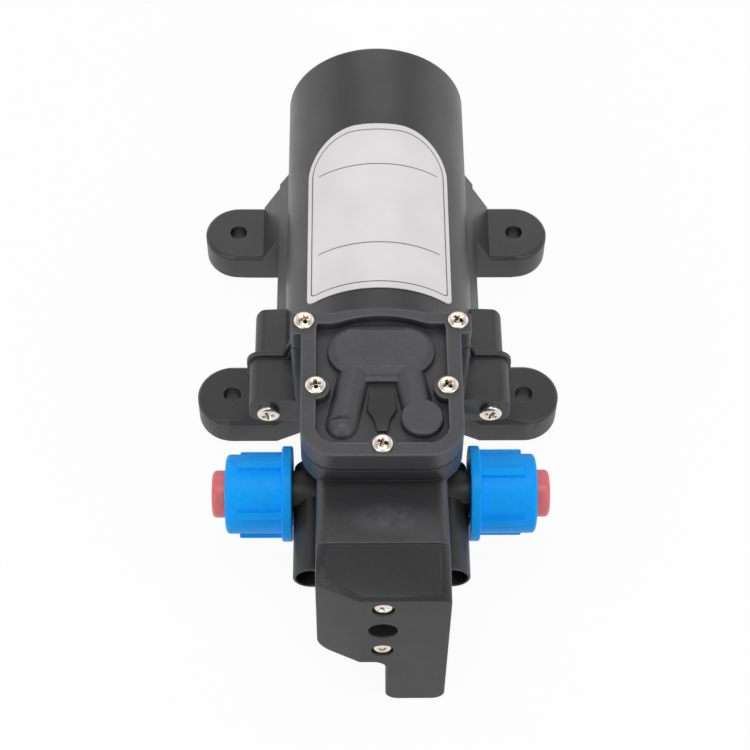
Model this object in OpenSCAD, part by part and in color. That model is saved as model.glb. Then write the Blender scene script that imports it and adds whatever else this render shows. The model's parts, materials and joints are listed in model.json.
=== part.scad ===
// Small diaphragm water pump for a caravan or camper, taken apart into its real pieces.
// Millimetres. Y runs along the motor axis: the motor is at +Y, the pressure switch at -Y. Z is up.
// The origin is the centre of the four foot holes, on the plane that the feet stand on.

/* [Feet] */
// Distance between the foot holes across the pump
foot_span_x = 78; // [76:1:90]
// Distance between the foot holes along the pump
foot_span_y = 55; // [50:1:58]
// Diameter of a foot hole
foot_hole_d = 4.5; // [3.5:0.1:6]
// Radius of a foot's round end
foot_end_r = 9.3; // [8:0.1:10]
// Thickness of a foot
foot_h = 9; // [7:0.5:11]
// Bevel round the top of a foot
foot_bevel = 1; // [0.5:0.1:2]
// Width of the ramp that leads from a rear foot up to the skirt
foot_ramp_w = 4.7; // [3:0.1:6]
// Rise of that ramp above the foot
foot_ramp_h = 8.7; // [6:0.1:9.5]

/* [Motor cover] */
// Height of the motor axis above the base
axis_z = 27.5; // [27:0.1:29]
// Outer radius of the round cover
cover_r = 24.4; // [24:0.1:25]
// Wall of the cover
cover_wall = 2.4; // [2:0.1:3]
// Length of the cover from the seam to its closed end
cover_len = 88.8; // [84:0.1:96]
// Radius of the edge round the closed end
cover_edge_r = 1.5; // [1:0.1:4]
// Place of the seam between motor cover and pump body
seam_y = -30.2; // [-31:0.1:-29]
// Half the width of the skirt below the round cover
skirt_half_w = 27.2; // [26:0.1:27.5]
// Wall of the skirt and of its ribs
skirt_wall = 2.4; // [1.6:0.1:3]
// Height of the skirt's straight sides
skirt_side_h = 19; // [18.5:0.1:21]
// Drop from the motor axis to the place where the skirt meets the round cover
skirt_drop = 3.3; // [2:0.1:5]
// Length of the label along the cover
label_len = 54.3; // [30:0.1:56]
// Half the width of the label, measured straight across
label_half_w = 18.4; // [10:0.1:20]
// Thickness of the label
label_t = 0.25; // [0.1:0.05:0.5]
// Distance from the seam to the label
label_back = 6.2; // [4:0.1:9]
// Radius of the label's front corners
label_front_r = 2; // [1:0.1:5]
// Radius of the label's rear corners
label_rear_r = 13; // [5:0.5:14]

/* [Screw bosses] */
// Distance of each body screw outside the side of the skirt
boss_out = 1.1; // [0.9:0.1:2]
// Distance from a body screw to the outer side of the boss on the motor cover
boss_rear_w = 3.8; // [3.2:0.1:4.4]
// Distance from a body screw to the outer side of the boss on the pump body
boss_front_w = 4.9; // [4:0.1:5.2]
// Height of the boss on the pump body above its screw
boss_top = 5; // [4.6:0.1:6.5]
// Depth of both bosses below their screw
boss_depth = 4.4; // [4:0.1:5]
// Radius of the long edges of a boss
boss_corner_r = 3; // [1.5:0.1:3.4]
// Height of the lip round the seam
seam_lip = 0.9; // [0.5:0.1:1.2]
// Thickness of that lip
seam_lip_t = 1.5; // [1:0.1:2.4]
// Length of a boss behind the seam
boss_rear_len = 14.2; // [13.5:0.1:20]
// Length of a boss in front of the seam
boss_front_len = 14.8; // [12:0.1:18]
// Diameter of a body screw
body_screw_d = 3; // [2.5:0.1:3.5]
// Diameter of a body screw's head
body_screw_head_d = 5.7; // [5:0.1:6.5]

/* [Pump head] */
// Distance from the seam to the middle of the crank
crank_reach = 23.8; // [23.5:0.1:27]
// Half the width of the head
head_half_w = 19.2; // [19:0.1:20.5]
// Distance from the middle of the crank to the head's rear edge
head_rear = 15.1; // [15:0.1:16]
// Distance from the middle of the crank to the head's front edge
head_front = 25.5; // [25.2:0.1:27]
// Radius of the head's front corners
head_corner_r = 8.5; // [6:0.5:10]
// Height of the flange under the gasket
head_flange_h = 6.2; // [5:0.1:7]
// Thickness of the head cover
head_cover_h = 6; // [5.5:0.1:7]
// Depth of the recess inside the rim
recess_d = 2.5; // [2.2:0.1:3]
// Width of the rim round the recess
rim_w = 3.6; // [2.6:0.1:4]
// Width of the rim along the head's rear edge
rear_rim_w = 3.2; // [2.8:0.1:4]
// Half the width of the arch in the rear rim
arch_half_w = 11; // [9:0.5:13]
// Rise of that arch on its outer side
arch_rise = 1.4; // [0.8:0.1:1.6]
// Rise of that arch on its inner side
arch_inner_rise = 2.3; // [1.5:0.1:2.8]
// Thickness of the gasket under the head cover
gasket_t = 0.8; // [0.5:0.1:1.2]
// Diameter of a head screw
head_screw_d = 2.5; // [2:0.1:2.8]
// Diameter of a head screw's head
head_screw_head_d = 4.9; // [4.5:0.1:5.5]
// Distance of the rear head screws from the middle
rear_screw_x = 18.55; // [18:0.05:19]
// Distance of the rear head screws behind the middle of the crank
rear_screw_back = 12.2; // [12:0.1:12.6]
// Distance of the mid head screws from the middle
mid_screw_x = 15.6; // [15.5:0.05:16]
// Distance of the mid head screws in front of the middle of the crank
mid_screw_ahead = 6.5; // [6.3:0.1:7.5]
// Distance of the front head screw in front of the middle of the crank
front_screw_ahead = 22.7; // [22:0.1:22.9]
// Radius of the pad round a head screw
screw_pad_r = 3.3; // [2.8:0.1:3.6]
// Half the distance between the ends of the oblong valve chamber
oblong_half_w = 12.9; // [12.5:0.1:13.4]
// Radius of the ends of the oblong valve chamber
oblong_r = 7; // [6.8:0.1:7.6]
// Width of the bevel along the top of the oblong valve chamber
oblong_bevel = 2; // [1:0.1:2.4]
// Height of that bevel
oblong_bevel_h = 1.2; // [0.5:0.1:1.4]
// Radius of a channel that leads from the valves to the ports
channel_r = 4.4; // [4.2:0.1:4.6]

/* [Port block] */
// Half the width of the port block
block_half_w = 15.5; // [15:0.1:15.8]
// Distance from the middle of the crank to the front of the port block
block_reach = 43.8; // [42:0.1:50]
// Height of the underside of the port block
block_bottom_z = 20.8; // [18:0.1:22]
// Drop from the top of the pump body to the front edge of the port block's top
block_drop = 1.6; // [1.2:0.1:3]
// Fall of that top towards the head
block_fall = 2.8; // [1:0.1:3]
// Radius of the port block's upper edges
block_edge_r = 2.7; // [1:0.1:4]
// Distance of the port axis in front of the crank
port_reach = 16.8; // [16:0.1:20]
// Height of the port axis
port_z = 30; // [29:0.1:32]
// Distance of each port tube from the middle
tube_x = 16.8; // [16:0.1:17.5]
// Radius of a port tube
tube_r = 4.5; // [4:0.1:5]
// Wall of a port tube at its open end
tube_wall = 0.8; // [0.6:0.1:1.2]
// Depth of the socket in a port tube
tube_socket = 14; // [8:1:16]
// Distance of a port tube's open end behind the front of the block
tube_setback = 3.5; // [3:0.1:6]
// Radius of a port's neck
neck_r = 5.75; // [5:0.05:6.5]
// Radius of a port's thread
thread_r = 8.2; // [7.8:0.1:8.4]
// Radius of a port's hose tail
tail_r = 4; // [3.8:0.1:4.2]
// Radius of the water passages
passage_r = 2; // [1.5:0.1:2.3]

/* [Union nuts and plugs] */
// Length of a union nut
nut_len = 16.3; // [15:0.1:20]
// Radius of a nut's flange
nut_flange_r = 11.75; // [11:0.05:12.5]
// Thickness of a nut's flange
nut_flange_t = 2.6; // [2:0.1:4]
// Radius of a nut's body
nut_r = 9.75; // [9.5:0.05:10.2]
// Number of grip ribs on a nut
nut_ribs = 5; // [4:1:10]
// Width of a grip rib
rib_w = 2.2; // [1.5:0.1:3]
// Height of a grip rib
rib_h = 1.1; // [0.6:0.1:1.4]
// Length of a grip rib, flange included
rib_len = 13.1; // [10:0.1:13.5]
// Angle to which the left nut is screwed home
left_nut_turn = 25; // [0:1:71]
// Angle to which the right nut is screwed home
right_nut_turn = 37; // [0:1:71]
// Radius of a dust plug
plug_r = 5.8; // [5.4:0.1:6]
// Length of a dust plug that stands out of the nut
plug_out = 3.4; // [2:0.1:6]

/* [Pressure switch] */
// Depth of the switch cover
switch_depth = 14.2; // [13:0.1:16]
// Wall of the switch cover
switch_wall = 1.8; // [1.4:0.1:2]
// Height of the axis of the adjusting screw
switch_z = 37.4; // [36.5:0.1:38]
// Diameter of the hole for the adjusting screw
adjust_hole_d = 6.8; // [6:0.1:7]
// Distance of the switch screws above and below that hole
switch_screw_rise = 10.3; // [10:0.1:10.8]
// Diameter of a switch screw
switch_screw_d = 2.2; // [2:0.1:2.6]
// Diameter of a switch screw's head
switch_screw_head_d = 4.6; // [4:0.1:4.8]
// Place of the inner side of the cover's leg
leg_x = 1; // [0:0.1:2]
// Height of the leg's lower end above the base
leg_z = 0.3; // [0.3:0.1:3]
// Width of the slanted corner
slant_w = 10.1; // [7:0.1:10.5]
// Depth of the slanted corner
slant_d = 4.5; // [3:0.1:5]
// Bevel along the front of the cover's top
switch_bevel = 1.4; // [0.8:0.1:1.6]
// Radius of the cover's lower corner beside the leg
switch_corner_r = 3.2; // [2.2:0.1:4]
// Travel of the plunger
plunger_travel = 0.6; // [0.3:0.1:0.7]

/* [Crank and diaphragm] */
// Diameter of the motor shaft
shaft_d = 5; // [4:0.1:5.4]
// Throw of the crank, half of the stroke
crank_throw = 1.6; // [1:0.1:1.8]
// Distance from the crank pin to the underside of the diaphragm
rod_len = 16.9; // [16.7:0.1:18]
// Bore of the crank bearing
bearing_bore = 10; // [9.8:0.1:10.4]
// Outer diameter of the crank bearing
bearing_d = 19; // [18.6:0.1:19.4]
// Width of the crank bearing
bearing_w = 5; // [4:0.5:6]
// Rim of the connecting rod round the bearing
rod_rim = 2.2; // [1.5:0.1:2.4]
// Radius of the crank chamber
chamber_r = 14.5; // [14.3:0.1:15]
// Radius of the diaphragm
diaphragm_r = 14.5; // [14:0.1:14.6]
// Thickness of the diaphragm
diaphragm_t = 1.4; // [1:0.1:1.6]
// Depth of the pocket that holds diaphragm and valve plate
pocket_d = 10.6; // [10.4:0.1:11]
// Radius of the discs that hold the diaphragm
disc_r = 6.4; // [5.5:0.1:7]
// Distance of each valve from the middle
valve_x = 5.8; // [5.4:0.1:5.8]
// Radius of a valve's rubber skirt
valve_r = 3.6; // [3:0.1:3.6]

/* [Motor] */
// Wall of the motor can
can_wall = 1; // [0.8:0.1:1.2]
// Thickness of a magnet
magnet_t = 4.2; // [3:0.1:4.5]
// Air gap between magnets and armature
air_gap = 0.6; // [0.5:0.1:1]
// Room between the front winding and the front of the motor can
core_room = 7.8; // [5:0.1:14]
// Number of armature poles
poles = 5; // [3:2:5]
// Radius of the commutator
commutator_r = 5.5; // [5:0.1:6]
// Length of the commutator
commutator_len = 8; // [7.5:0.1:10]

/* [Clearances] */
// Running clearance round shafts and threads
run_gap = 0.05; // [0.03:0.01:0.08]
// Clearance between pieces that sit on each other
seat_gap = 0.1; // [0.05:0.01:0.12]
// Clearance between pieces that pass each other
free_gap = 0.3; // [0.3:0.05:0.4]

/* [Hidden] */
$fn = 64;
eps = 0.01;
// Length by which a cutting tool runs past the piece that it cuts
past = 1;

shell_black = [0.16, 0.16, 0.17];
nut_blue = [0.06, 0.50, 0.92];
plug_red = [0.80, 0.22, 0.24];
screw_nickel = [0.80, 0.79, 0.76];
steel_grey = [0.62, 0.63, 0.65];
rubber_black = [0.10, 0.10, 0.11];
copper_brown = [0.72, 0.42, 0.22];

// Places along the pump
cover_rear_y = seam_y + cover_len;
cover_inner_y = cover_rear_y - cover_wall;
crank_y = seam_y - crank_reach;
head_rear_y = crank_y + head_rear;
head_front_y = crank_y - head_front;
block_front_y = crank_y - block_reach;
switch_front_y = block_front_y - switch_depth;
port_y = crank_y - port_reach;
tube_front_y = block_front_y + tube_setback;
flange_over = 1;
flange_t = seam_lip_t + flange_over;
crankcase_wall = 3.5;
crankcase_reach = 10.5;
crankcase_front_y = crank_y - crankcase_reach;
skirt_rear_y = foot_span_y / 2 + foot_end_r;

// Heights in the head, from the crank pin upwards
pin_z = axis_z + crank_throw;
fold_rise = 1.4;
disc_z = pin_z + rod_len;
disc_top_z = disc_z + diaphragm_t;
pocket_z = disc_z - fold_rise;
body_top_z = pocket_z + pocket_d;
cover_bottom_z = body_top_z + gasket_t;
head_top_z = cover_bottom_z + head_cover_h;
recess_z = head_top_z - recess_d;
head_flange_z = body_top_z - head_flange_h;
block_top_z = body_top_z - block_drop;
channel_sink = 0.2;
channel_z = head_top_z - channel_r - channel_sink;
pocket_r = diaphragm_r + seat_gap;
rim_over = 0.2;
rim_t = diaphragm_t + rim_over;
clamp_t = 1.5;
disc_taper = 1;
plate_z = pocket_z + rim_t + seat_gap;
plate_chamber_h = 4.5;
plate_chamber_r = 11.4;
web_z = plate_z + plate_chamber_h;
web_t = 2.2;
web_top_z = web_z + web_t;
valve_back = 4.8;
valve_y = crank_y + valve_back;
passage_x = 9.4;
passage_back = 1;
passage_y = port_y + passage_back;
passage_wall = 2;
valve_skirt_t = 0.8;
stem_r = 0.9;

// Places of the five head screws
rear_screw_y = crank_y + rear_screw_back;
mid_screw_y = crank_y - mid_screw_ahead;
front_screw_y = crank_y - front_screw_ahead;
head_screw_at = [
    [-rear_screw_x, rear_screw_y], [rear_screw_x, rear_screw_y],
    [-mid_screw_x, mid_screw_y], [mid_screw_x, mid_screw_y],
    [0, front_screw_y]
];
screw_head_h = 1.6;
head_screw_len = 13;
pad_edge_r = 1.2;

// Body screws and their bosses
boss_x = skirt_half_w + boss_out;
boss_edge_r = 1.8;
boss_step = 0.6;
boss_floor = 3;
screw_end_gap = 0.5;

// Ports, nuts and plugs, from the middle outwards
nut_x = tube_x + tube_r + free_gap;
nut_end_x = nut_x + nut_len;
thread_back = 1.2;
thread_x = nut_x + thread_back;
thread_len = 8.5;
thread_end_x = thread_x + thread_len;
tail_back = 1;
tail_end_x = nut_end_x - tail_back;
tail_wall = 1.25;
tail_bore_r = tail_r - tail_wall;
plug_end_x = nut_end_x + plug_out;
plug_x = thread_end_x + seat_gap;
plug_bore_r = tail_r + free_gap;
nut_bore_r = thread_r + run_gap;
nut_mouth_r = plug_r + free_gap;

// Crank train
shaft_r = shaft_d / 2;
pin_r = bearing_bore / 2 - run_gap / 2;
bearing_r = bearing_d / 2;
rod_r = bearing_r + rod_rim;
bearing_front_y = crank_y - bearing_w / 2;
bearing_rear_y = crank_y + bearing_w / 2;
collar_t = 0.6;
set_screw_r = 1.5;
shaft_flat = 0.5;
weight_t = 4;
weight_r = 11.5;
hub_r = 7;
hub_len = 10;
hub_front_y = bearing_rear_y + seat_gap + collar_t;
set_screw_back = 7;
set_screw_y = hub_front_y + set_screw_back;
support_t = 2;
rod_top_z = disc_z - support_t;
clamp_screw_r = 1.3;
clamp_screw_floor = 1.3;
clamp_screw_len = disc_top_z - pin_z - bearing_r - clamp_screw_floor;

// Motor
can_r = cover_r - cover_wall - seat_gap;
can_inner_r = can_r - can_wall;
can_front_y = seam_y + seat_gap;
can_boss_r = 7;
can_boss_len = 5;
can_boss_y = can_front_y - can_boss_len;
bell_rear_y = cover_inner_y - seat_gap;
bell_boss_r = 7.5;
bell_boss_len = 5;
bell_face_y = bell_rear_y - bell_boss_len;
bell_t = 2;
can_rear_y = bell_face_y - bell_t;
bell_spigot_len = 3;
bell_spigot_y = can_rear_y - bell_spigot_len;
bush_r = 4;
bush_roof = 1;
bush_rear_y = bell_rear_y - bush_roof;
magnet_r = can_inner_r - run_gap;
core_r = magnet_r - magnet_t - air_gap;
commutator_gap = 0.8;
commutator_rear_y = bell_spigot_y - commutator_gap;
commutator_front_y = commutator_rear_y - commutator_len;
end_turn_len = 7.5;
end_turn_gap = 1;
core_rear_y = commutator_front_y - end_turn_len - end_turn_gap;
core_front_y = can_front_y + can_wall + core_room + end_turn_len;
slot_r = 3.6;
slot_roof = 2;
slot_at = core_r - slot_r - slot_roof;
slot_mouth_w = 2;
brush_w = 4;
brush_len = 5.4;
brush_y = commutator_front_y + commutator_len / 2;
brush_x = commutator_r + run_gap;
holder_wall = 1.2;
brush_spring_len = 4.4;
holder_end_x = brush_x + brush_len + brush_spring_len;
shaft_end_gap = 0.5;
shaft_rear_y = bush_rear_y - shaft_end_gap;
shaft_over = 1;
shaft_front_y = bearing_front_y - shaft_over;

// Pressure switch, from the port block forwards
gallery_r = 1.25;
sink_d = 1.7;
switch_screw_grip = 7.5;
recess_r = 7.6;
membrane_in = 3;
membrane_y = block_front_y + membrane_in;
membrane_t = 1.2;
guide_y = membrane_y - membrane_t - seat_gap;
guide_bore_r = 5.2;
plunger_y = guide_y - seat_gap;
plunger_r = guide_bore_r - run_gap;
arm_out = 2;
arm_y = block_front_y - arm_out;
arm_t = 1;
arm_w = 3.2;
neck_plunger_r = 2.6;
adjuster_tube_r = 4.9;
adjuster_tube_len = 6;
adjuster_rear_y = switch_front_y + adjuster_tube_len;
adjuster_len = 3.2;
adjuster_r = adjust_hole_d / 2 - run_gap;
spring_wire = 0.6;
spring_r = 2.3;
spring_gap = 0.05;
micro_x = 6.6;
micro_w = 5.8;
micro_h = 12.8;
micro_front_y = switch_front_y + switch_wall + seat_gap;
micro_d = 6.2;
micro_rear_y = micro_front_y + micro_d;
button_w = 1.6;
button_in = 1.2;
button_x = micro_x + (micro_w - button_w) / 2;
leg_edge_r = 3.3;

// A bar of the children's outline, which lies in X and Z, from y0 to y1
module prism_y(y0, y1) {
    translate([0, y1, 0])
        rotate([90, 0, 0])
            linear_extrude(y1 - y0)
                children();
}

// A round bar along Y
module rod_y(r, y0, y1, x = 0, z = 0) {
    translate([x, y1, z])
        rotate([90, 0, 0])
            cylinder(r = r, h = y1 - y0);
}

// A round bar along X
module rod_x(r, x0, x1, y, z) {
    translate([x0, y, z])
        rotate([0, 90, 0])
            cylinder(r = r, h = x1 - x0);
}

// A solid of revolution round a line along Y, from an outline of radius and Y
module revolve_y(x = 0, z = 0) {
    translate([x, 0, z])
        rotate([-90, 0, 0])
            rotate_extrude()
                children();
}

// The children turned about the motor axis, drawn round the origin
module rotate_about_axis(angle) {
    translate([0, 0, axis_z])
        rotate([0, angle, 0])
            children();
}

// A round bar along Z with a rounded upper edge
module round_top_rod(r, h, edge) {
    rotate_extrude() {
        square([r - edge, h]);
        square([r, h - edge]);
        translate([r - edge, h - edge])
            circle(edge);
    }
}

// A round block on Z = 0 with a bevelled upper edge
module bevelled_disc(r, h, bevel_w, bevel_h) {
    cylinder(r = r, h = h - bevel_h);
    translate([0, 0, h - bevel_h])
        cylinder(r1 = r, r2 = r - bevel_w, h = bevel_h);
}

// A straight block of the same section along X
module bevelled_bar(x0, x1, r, h, bevel_w, bevel_h) {
    translate([x0, 0, 0])
        rotate([90, 0, 90])
            linear_extrude(x1 - x0)
                polygon([
                    [-r, 0], [r, 0], [r, h - bevel_h],
                    [r - bevel_w, h], [bevel_w - r, h], [-r, h - bevel_h]
                ]);
}

// A round bar along Z with a half ball as its upper end
module dome_top_rod(r, h) {
    rotate_extrude() {
        square([r, h - r]);
        intersection() {
            translate([0, h - r])
                circle(r);
            square([r, h]);
        }
    }
}

// The children and their mirror image across the middle of the pump
module both_sides() {
    children();
    mirror([1, 0, 0])
        children();
}

// A pan head on Z = 0 with its shank below
module pan_screw(head_d, shank_d, len) {
    intersection() {
        cylinder(d = head_d, h = screw_head_h);
        translate([0, 0, screw_head_h - head_d])
            sphere(r = head_d);
    }
    translate([0, 0, -len])
        cylinder(d = shank_d, h = len + eps);
}

// Points of a coil spring's wire: ring by ring along a helix
function coil_point(r, wire, len, turns, t, a) =
    let (u = 360 * turns * t, w = r + wire / 2 * cos(a))
    [w * cos(u), w * sin(u), wire / 2 + (len - wire) * t + wire / 2 * sin(a)];

// A coil spring that stands on Z = 0
module coil_spring(r, wire, len, turns) {
    sides = 6;
    rings = turns * 10;
    points = [
        for (i = [0:rings], k = [0:sides - 1])
            coil_point(r, wire, len, turns, i / rings, k * 360 / sides)
    ];
    walls = [
        for (i = [0:rings - 1], k = [0:sides - 1])
            let (a = i * sides + k, b = i * sides + (k + 1) % sides)
            each [[a, a + sides, b], [b, a + sides, b + sides]]
    ];
    first = [for (k = [1:sides - 2]) [0, k, k + 1]];
    last = [for (k = [1:sides - 2]) [rings * sides, rings * sides + k + 1, rings * sides + k]];
    polyhedron(points, concat(walls, first, last));
}

// Outline of the skirt, seen along the motor axis
module skirt_outline(wall = 0) {
    half = skirt_half_w - wall;
    r = cover_r - wall;
    top = sqrt(r * r - skirt_drop * skirt_drop);
    foot = wall > 0 ? -past : 0;
    polygon([
        [-half, foot], [half, foot], [half, skirt_side_h],
        [top, axis_z - skirt_drop], [-top, axis_z - skirt_drop], [-half, skirt_side_h]
    ]);
}

// Outline of the seam between motor cover and pump body, drawn out by a lip
module seam_outline(lip = 0) {
    skirt_outline(-lip);
    translate([0, axis_z])
        circle(cover_r + lip);
}

// Outline of a screw boss and of its web, which starts at inner_x, drawn out by a lip
module boss_outline(inner_x, side, top, lip = 0) {
    edge = boss_corner_r + lip;
    outer_x = boss_x + side + lip;
    low = axis_z - boss_depth - lip;
    high = axis_z + top + lip;
    translate([inner_x, low])
        square([outer_x - edge - inner_x, high - low]);
    translate([inner_x, low + edge])
        square([outer_x - inner_x, high - low - 2 * edge]);
    for (z = [low + edge, high - edge])
        translate([outer_x - edge, z])
            circle(edge);
}

// One foot, its hole left to the piece that carries it
module foot(y, inner_x) {
    translate([0, y, 0]) {
        translate([foot_span_x / 2, 0, 0])
            bevelled_disc(foot_end_r, foot_h, foot_bevel, foot_bevel);
        bevelled_bar(inner_x, foot_span_x / 2, foot_end_r, foot_h, foot_bevel, foot_bevel);
    }
}

module foot_hole(y) {
    translate([foot_span_x / 2, y, -past])
        cylinder(d = foot_hole_d, h = foot_h + 2 * past);
}

// Ramp from a rear foot up to the skirt
module foot_ramp() {
    prism_y(foot_span_y / 2 - foot_end_r, foot_span_y / 2 + foot_end_r)
        polygon([
            [skirt_half_w - skirt_wall, foot_h - 2 * foot_bevel],
            [skirt_half_w + foot_ramp_w, foot_h - 2 * foot_bevel],
            [skirt_half_w + foot_ramp_w, foot_h],
            [skirt_half_w, foot_h + foot_ramp_h],
            [skirt_half_w - skirt_wall, foot_h + foot_ramp_h]
        ]);
}

// Rear half of a screw boss, with the web that joins it to the round cover
module rear_boss() {
    inner_x = cover_r - cover_wall / 2;
    outer_x = boss_x + boss_rear_w;
    rear_y = seam_y + boss_rear_len;
    intersection() {
        prism_y(seam_y, rear_y)
            boss_outline(inner_x, boss_rear_w, boss_top - boss_step);
        linear_extrude(2 * axis_z) {
            translate([inner_x - past, seam_y - past])
                square([outer_x - inner_x + 2 * past, boss_rear_len - boss_edge_r + past]);
            translate([inner_x - past, seam_y])
                square([outer_x - inner_x - boss_edge_r + past, boss_rear_len + past]);
            translate([outer_x - boss_edge_r, rear_y - boss_edge_r])
                circle(boss_edge_r);
        }
    }
}

module motor_cover() {
    rib_pitch = cover_len / 4;
    ring_len = bell_rear_y - bell_face_y - past;
    ring_w = 2;
    screw_end_y = seam_y + boss_rear_len - boss_floor;
    color(shell_black)
        difference() {
            union() {
                translate([0, seam_y, axis_z])
                    rotate([-90, 0, 0])
                        round_top_rod(cover_r, cover_len, cover_edge_r);
                difference() {
                    prism_y(seam_y, skirt_rear_y)
                        skirt_outline();
                    prism_y(seam_y + skirt_wall, skirt_rear_y - skirt_wall)
                        skirt_outline(skirt_wall);
                }
                for (y = [seam_y + rib_pitch, seam_y + 2 * rib_pitch])
                    translate([-skirt_half_w + skirt_wall / 2, y, past])
                        cube([2 * skirt_half_w - skirt_wall, skirt_wall, axis_z - cover_r + skirt_wall]);
                both_sides() {
                    foot(foot_span_y / 2, skirt_half_w - skirt_wall);
                    foot_ramp();
                    rear_boss();
                }
            }
            difference() {
                rod_y(cover_r - cover_wall, seam_y - past, cover_inner_y, z = axis_z);
                revolve_y(z = axis_z)
                    translate([bell_boss_r + seat_gap, cover_inner_y - ring_len])
                        square([ring_w, ring_len + past]);
            }
            both_sides() {
                foot_hole(foot_span_y / 2);
                rod_y(body_screw_d / 2 + run_gap, seam_y - past, screw_end_y, boss_x, axis_z);
            }
        }
}

// Right half of the label's outline, seen from above
module label_half_outline() {
    translate([0, label_front_r])
        square([label_half_w, label_len - label_front_r - label_rear_r]);
    square([label_half_w - label_front_r, label_len / 2]);
    translate([0, label_len / 2])
        square([label_half_w - label_rear_r, label_len / 2]);
    translate([label_half_w - label_front_r, label_front_r])
        circle(label_front_r);
    translate([label_half_w - label_rear_r, label_len - label_rear_r])
        circle(label_rear_r);
}

module rating_label() {
    inner_r = cover_r + run_gap;
    label_y = seam_y + label_back;
    color([0.84, 0.83, 0.83])
        intersection() {
            difference() {
                rod_y(inner_r + label_t, label_y, label_y + label_len, z = axis_z);
                rod_y(inner_r, label_y - past, label_y + label_len + past, z = axis_z);
            }
            translate([0, label_y, axis_z])
                linear_extrude(cover_r + 2 * past)
                    both_sides()
                        label_half_outline();
        }
}

// Outline of the head seen from above, drawn in by an inset
module head_outline(inset = 0, rear_inset = 0, rise = arch_rise) {
    half = head_half_w - inset;
    corner = head_corner_r - inset;
    front = head_front_y + inset;
    rear = head_rear_y - rear_inset;
    arch_r = (arch_half_w * arch_half_w + rise * rise) / (2 * rise);
    translate([-half, front + corner])
        square([2 * half, rear - front - corner]);
    translate([corner - half, front])
        square([2 * (half - corner), 2 * corner]);
    for (x = [-1, 1])
        translate([x * (half - corner), front + corner])
            circle(corner);
    intersection() {
        translate([0, rear + rise - arch_r])
            circle(arch_r);
        translate([-arch_half_w, rear - past])
            square([2 * arch_half_w, rise + 2 * past]);
    }
}

// Outline of the corner that holds the right-hand rear screw
module rear_pad() {
    side = screw_pad_r - pad_edge_r;
    back = head_rear_y - rear_screw_y;
    translate([rear_screw_x, rear_screw_y]) {
        translate([-past, -screw_pad_r])
            square([side + past, screw_pad_r + back]);
        translate([-past, -side])
            square([screw_pad_r + past, side + back - pad_edge_r]);
        for (y = [-side, back - pad_edge_r])
            translate([side, y])
                circle(pad_edge_r);
    }
}

// Outline of the head with the corners round its rear screws
module head_plan() {
    head_outline();
    both_sides()
        rear_pad();
}

// Round holes for the head screws
module head_screw_holes(z0, z1, r) {
    for (p = head_screw_at)
        translate([p[0], p[1], z0])
            cylinder(r = r, h = z1 - z0);
}

// Left and right water passage, upright
module passages(z0, z1, r = passage_r) {
    for (x = [-1, 1])
        translate([x * passage_x, passage_y, z0])
            cylinder(r = r, h = z1 - z0);
}

// Crankcase: a round barrel with upright sides under the head
module crankcase() {
    rod_y(head_half_w, crankcase_front_y, seam_y - eps, z = axis_z);
    translate([-head_half_w, crankcase_front_y, axis_z])
        cube([2 * head_half_w, head_rear_y - crankcase_front_y, head_flange_z - axis_z + past]);
    prism_y(seam_y - flange_t, seam_y)
        seam_outline();
    prism_y(seam_y - seam_lip_t, seam_y)
        seam_outline(seam_lip);
    translate([0, 0, head_flange_z])
        linear_extrude(body_top_z - head_flange_z)
            head_plan();
    both_sides()
        translate([0, 0, axis_z])
            linear_extrude(body_top_z - axis_z)
                rear_pad();
    passages(port_z, head_flange_z + past, passage_r + passage_wall);
}

// Front half of a screw boss, with its lip at the seam and the web to the crankcase
module front_boss() {
    inner_x = head_half_w - 2 * past;
    prism_y(seam_y - boss_front_len, seam_y)
        boss_outline(inner_x, boss_front_w, boss_top);
    prism_y(seam_y - seam_lip_t, seam_y)
        boss_outline(inner_x, boss_front_w, boss_top, seam_lip);
}

// Front foot: behind the seam it passes outside the skirt, its front edge draws back under the head
module front_foot() {
    y = -foot_span_y / 2;
    front_y = y - foot_end_r;
    web_w = 4;
    web_setback = 2;
    taper_x = head_half_w - web_w;
    taper_d = 5;
    difference() {
        foot(y, 0);
        translate([-past, seam_y - eps, -past])
            cube([skirt_half_w + free_gap + past, 2 * foot_end_r, foot_h + 2 * past]);
        translate([0, 0, -past])
            linear_extrude(foot_h + 2 * past)
                polygon([
                    [-past, front_y - past], [skirt_half_w, front_y - past], [skirt_half_w, front_y],
                    [taper_x, front_y + taper_d], [-past, front_y + taper_d]
                ]);
    }
    translate([boss_x - web_w / 2, front_y + web_setback, foot_h - eps])
        cube([web_w, seam_y - front_y - web_setback, axis_z - foot_h]);
}

// Port block: its top falls towards the head, its upper edges are rounded
module port_block() {
    lean = atan2(block_fall, head_front_y - block_front_y);
    len = crankcase_front_y - block_front_y;
    spare = 10;
    rise = block_top_z - block_bottom_z + spare;
    intersection() {
        translate([0, block_front_y, block_top_z])
            rotate([-lean, 0, 0])
                translate([0, 0, -rise])
                    prism_y(-spare, len + spare) {
                        translate([-block_half_w, 0])
                            square([2 * block_half_w, rise - block_edge_r]);
                        translate([block_edge_r - block_half_w, 0])
                            square([2 * (block_half_w - block_edge_r), rise]);
                        for (x = [-1, 1])
                            translate([x * (block_half_w - block_edge_r), rise - block_edge_r])
                                circle(block_edge_r);
                    }
        translate([-block_half_w - past, block_front_y, block_bottom_z])
            cube([2 * (block_half_w + past), len + past, block_top_z]);
    }
}

// One port with its tube, neck, thread and hose tail
module port() {
    thread_edge = 0.6;
    rod_y(tube_r, tube_front_y, crankcase_front_y + past, tube_x, port_z);
    rod_x(neck_r, passage_x, thread_x + past, port_y, port_z);
    translate([thread_x, port_y, port_z])
        rotate([0, 90, 0])
            round_top_rod(thread_r, thread_len, thread_edge);
    rod_x(tail_r, thread_end_x - past, tail_end_x, port_y, port_z);
}

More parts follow.
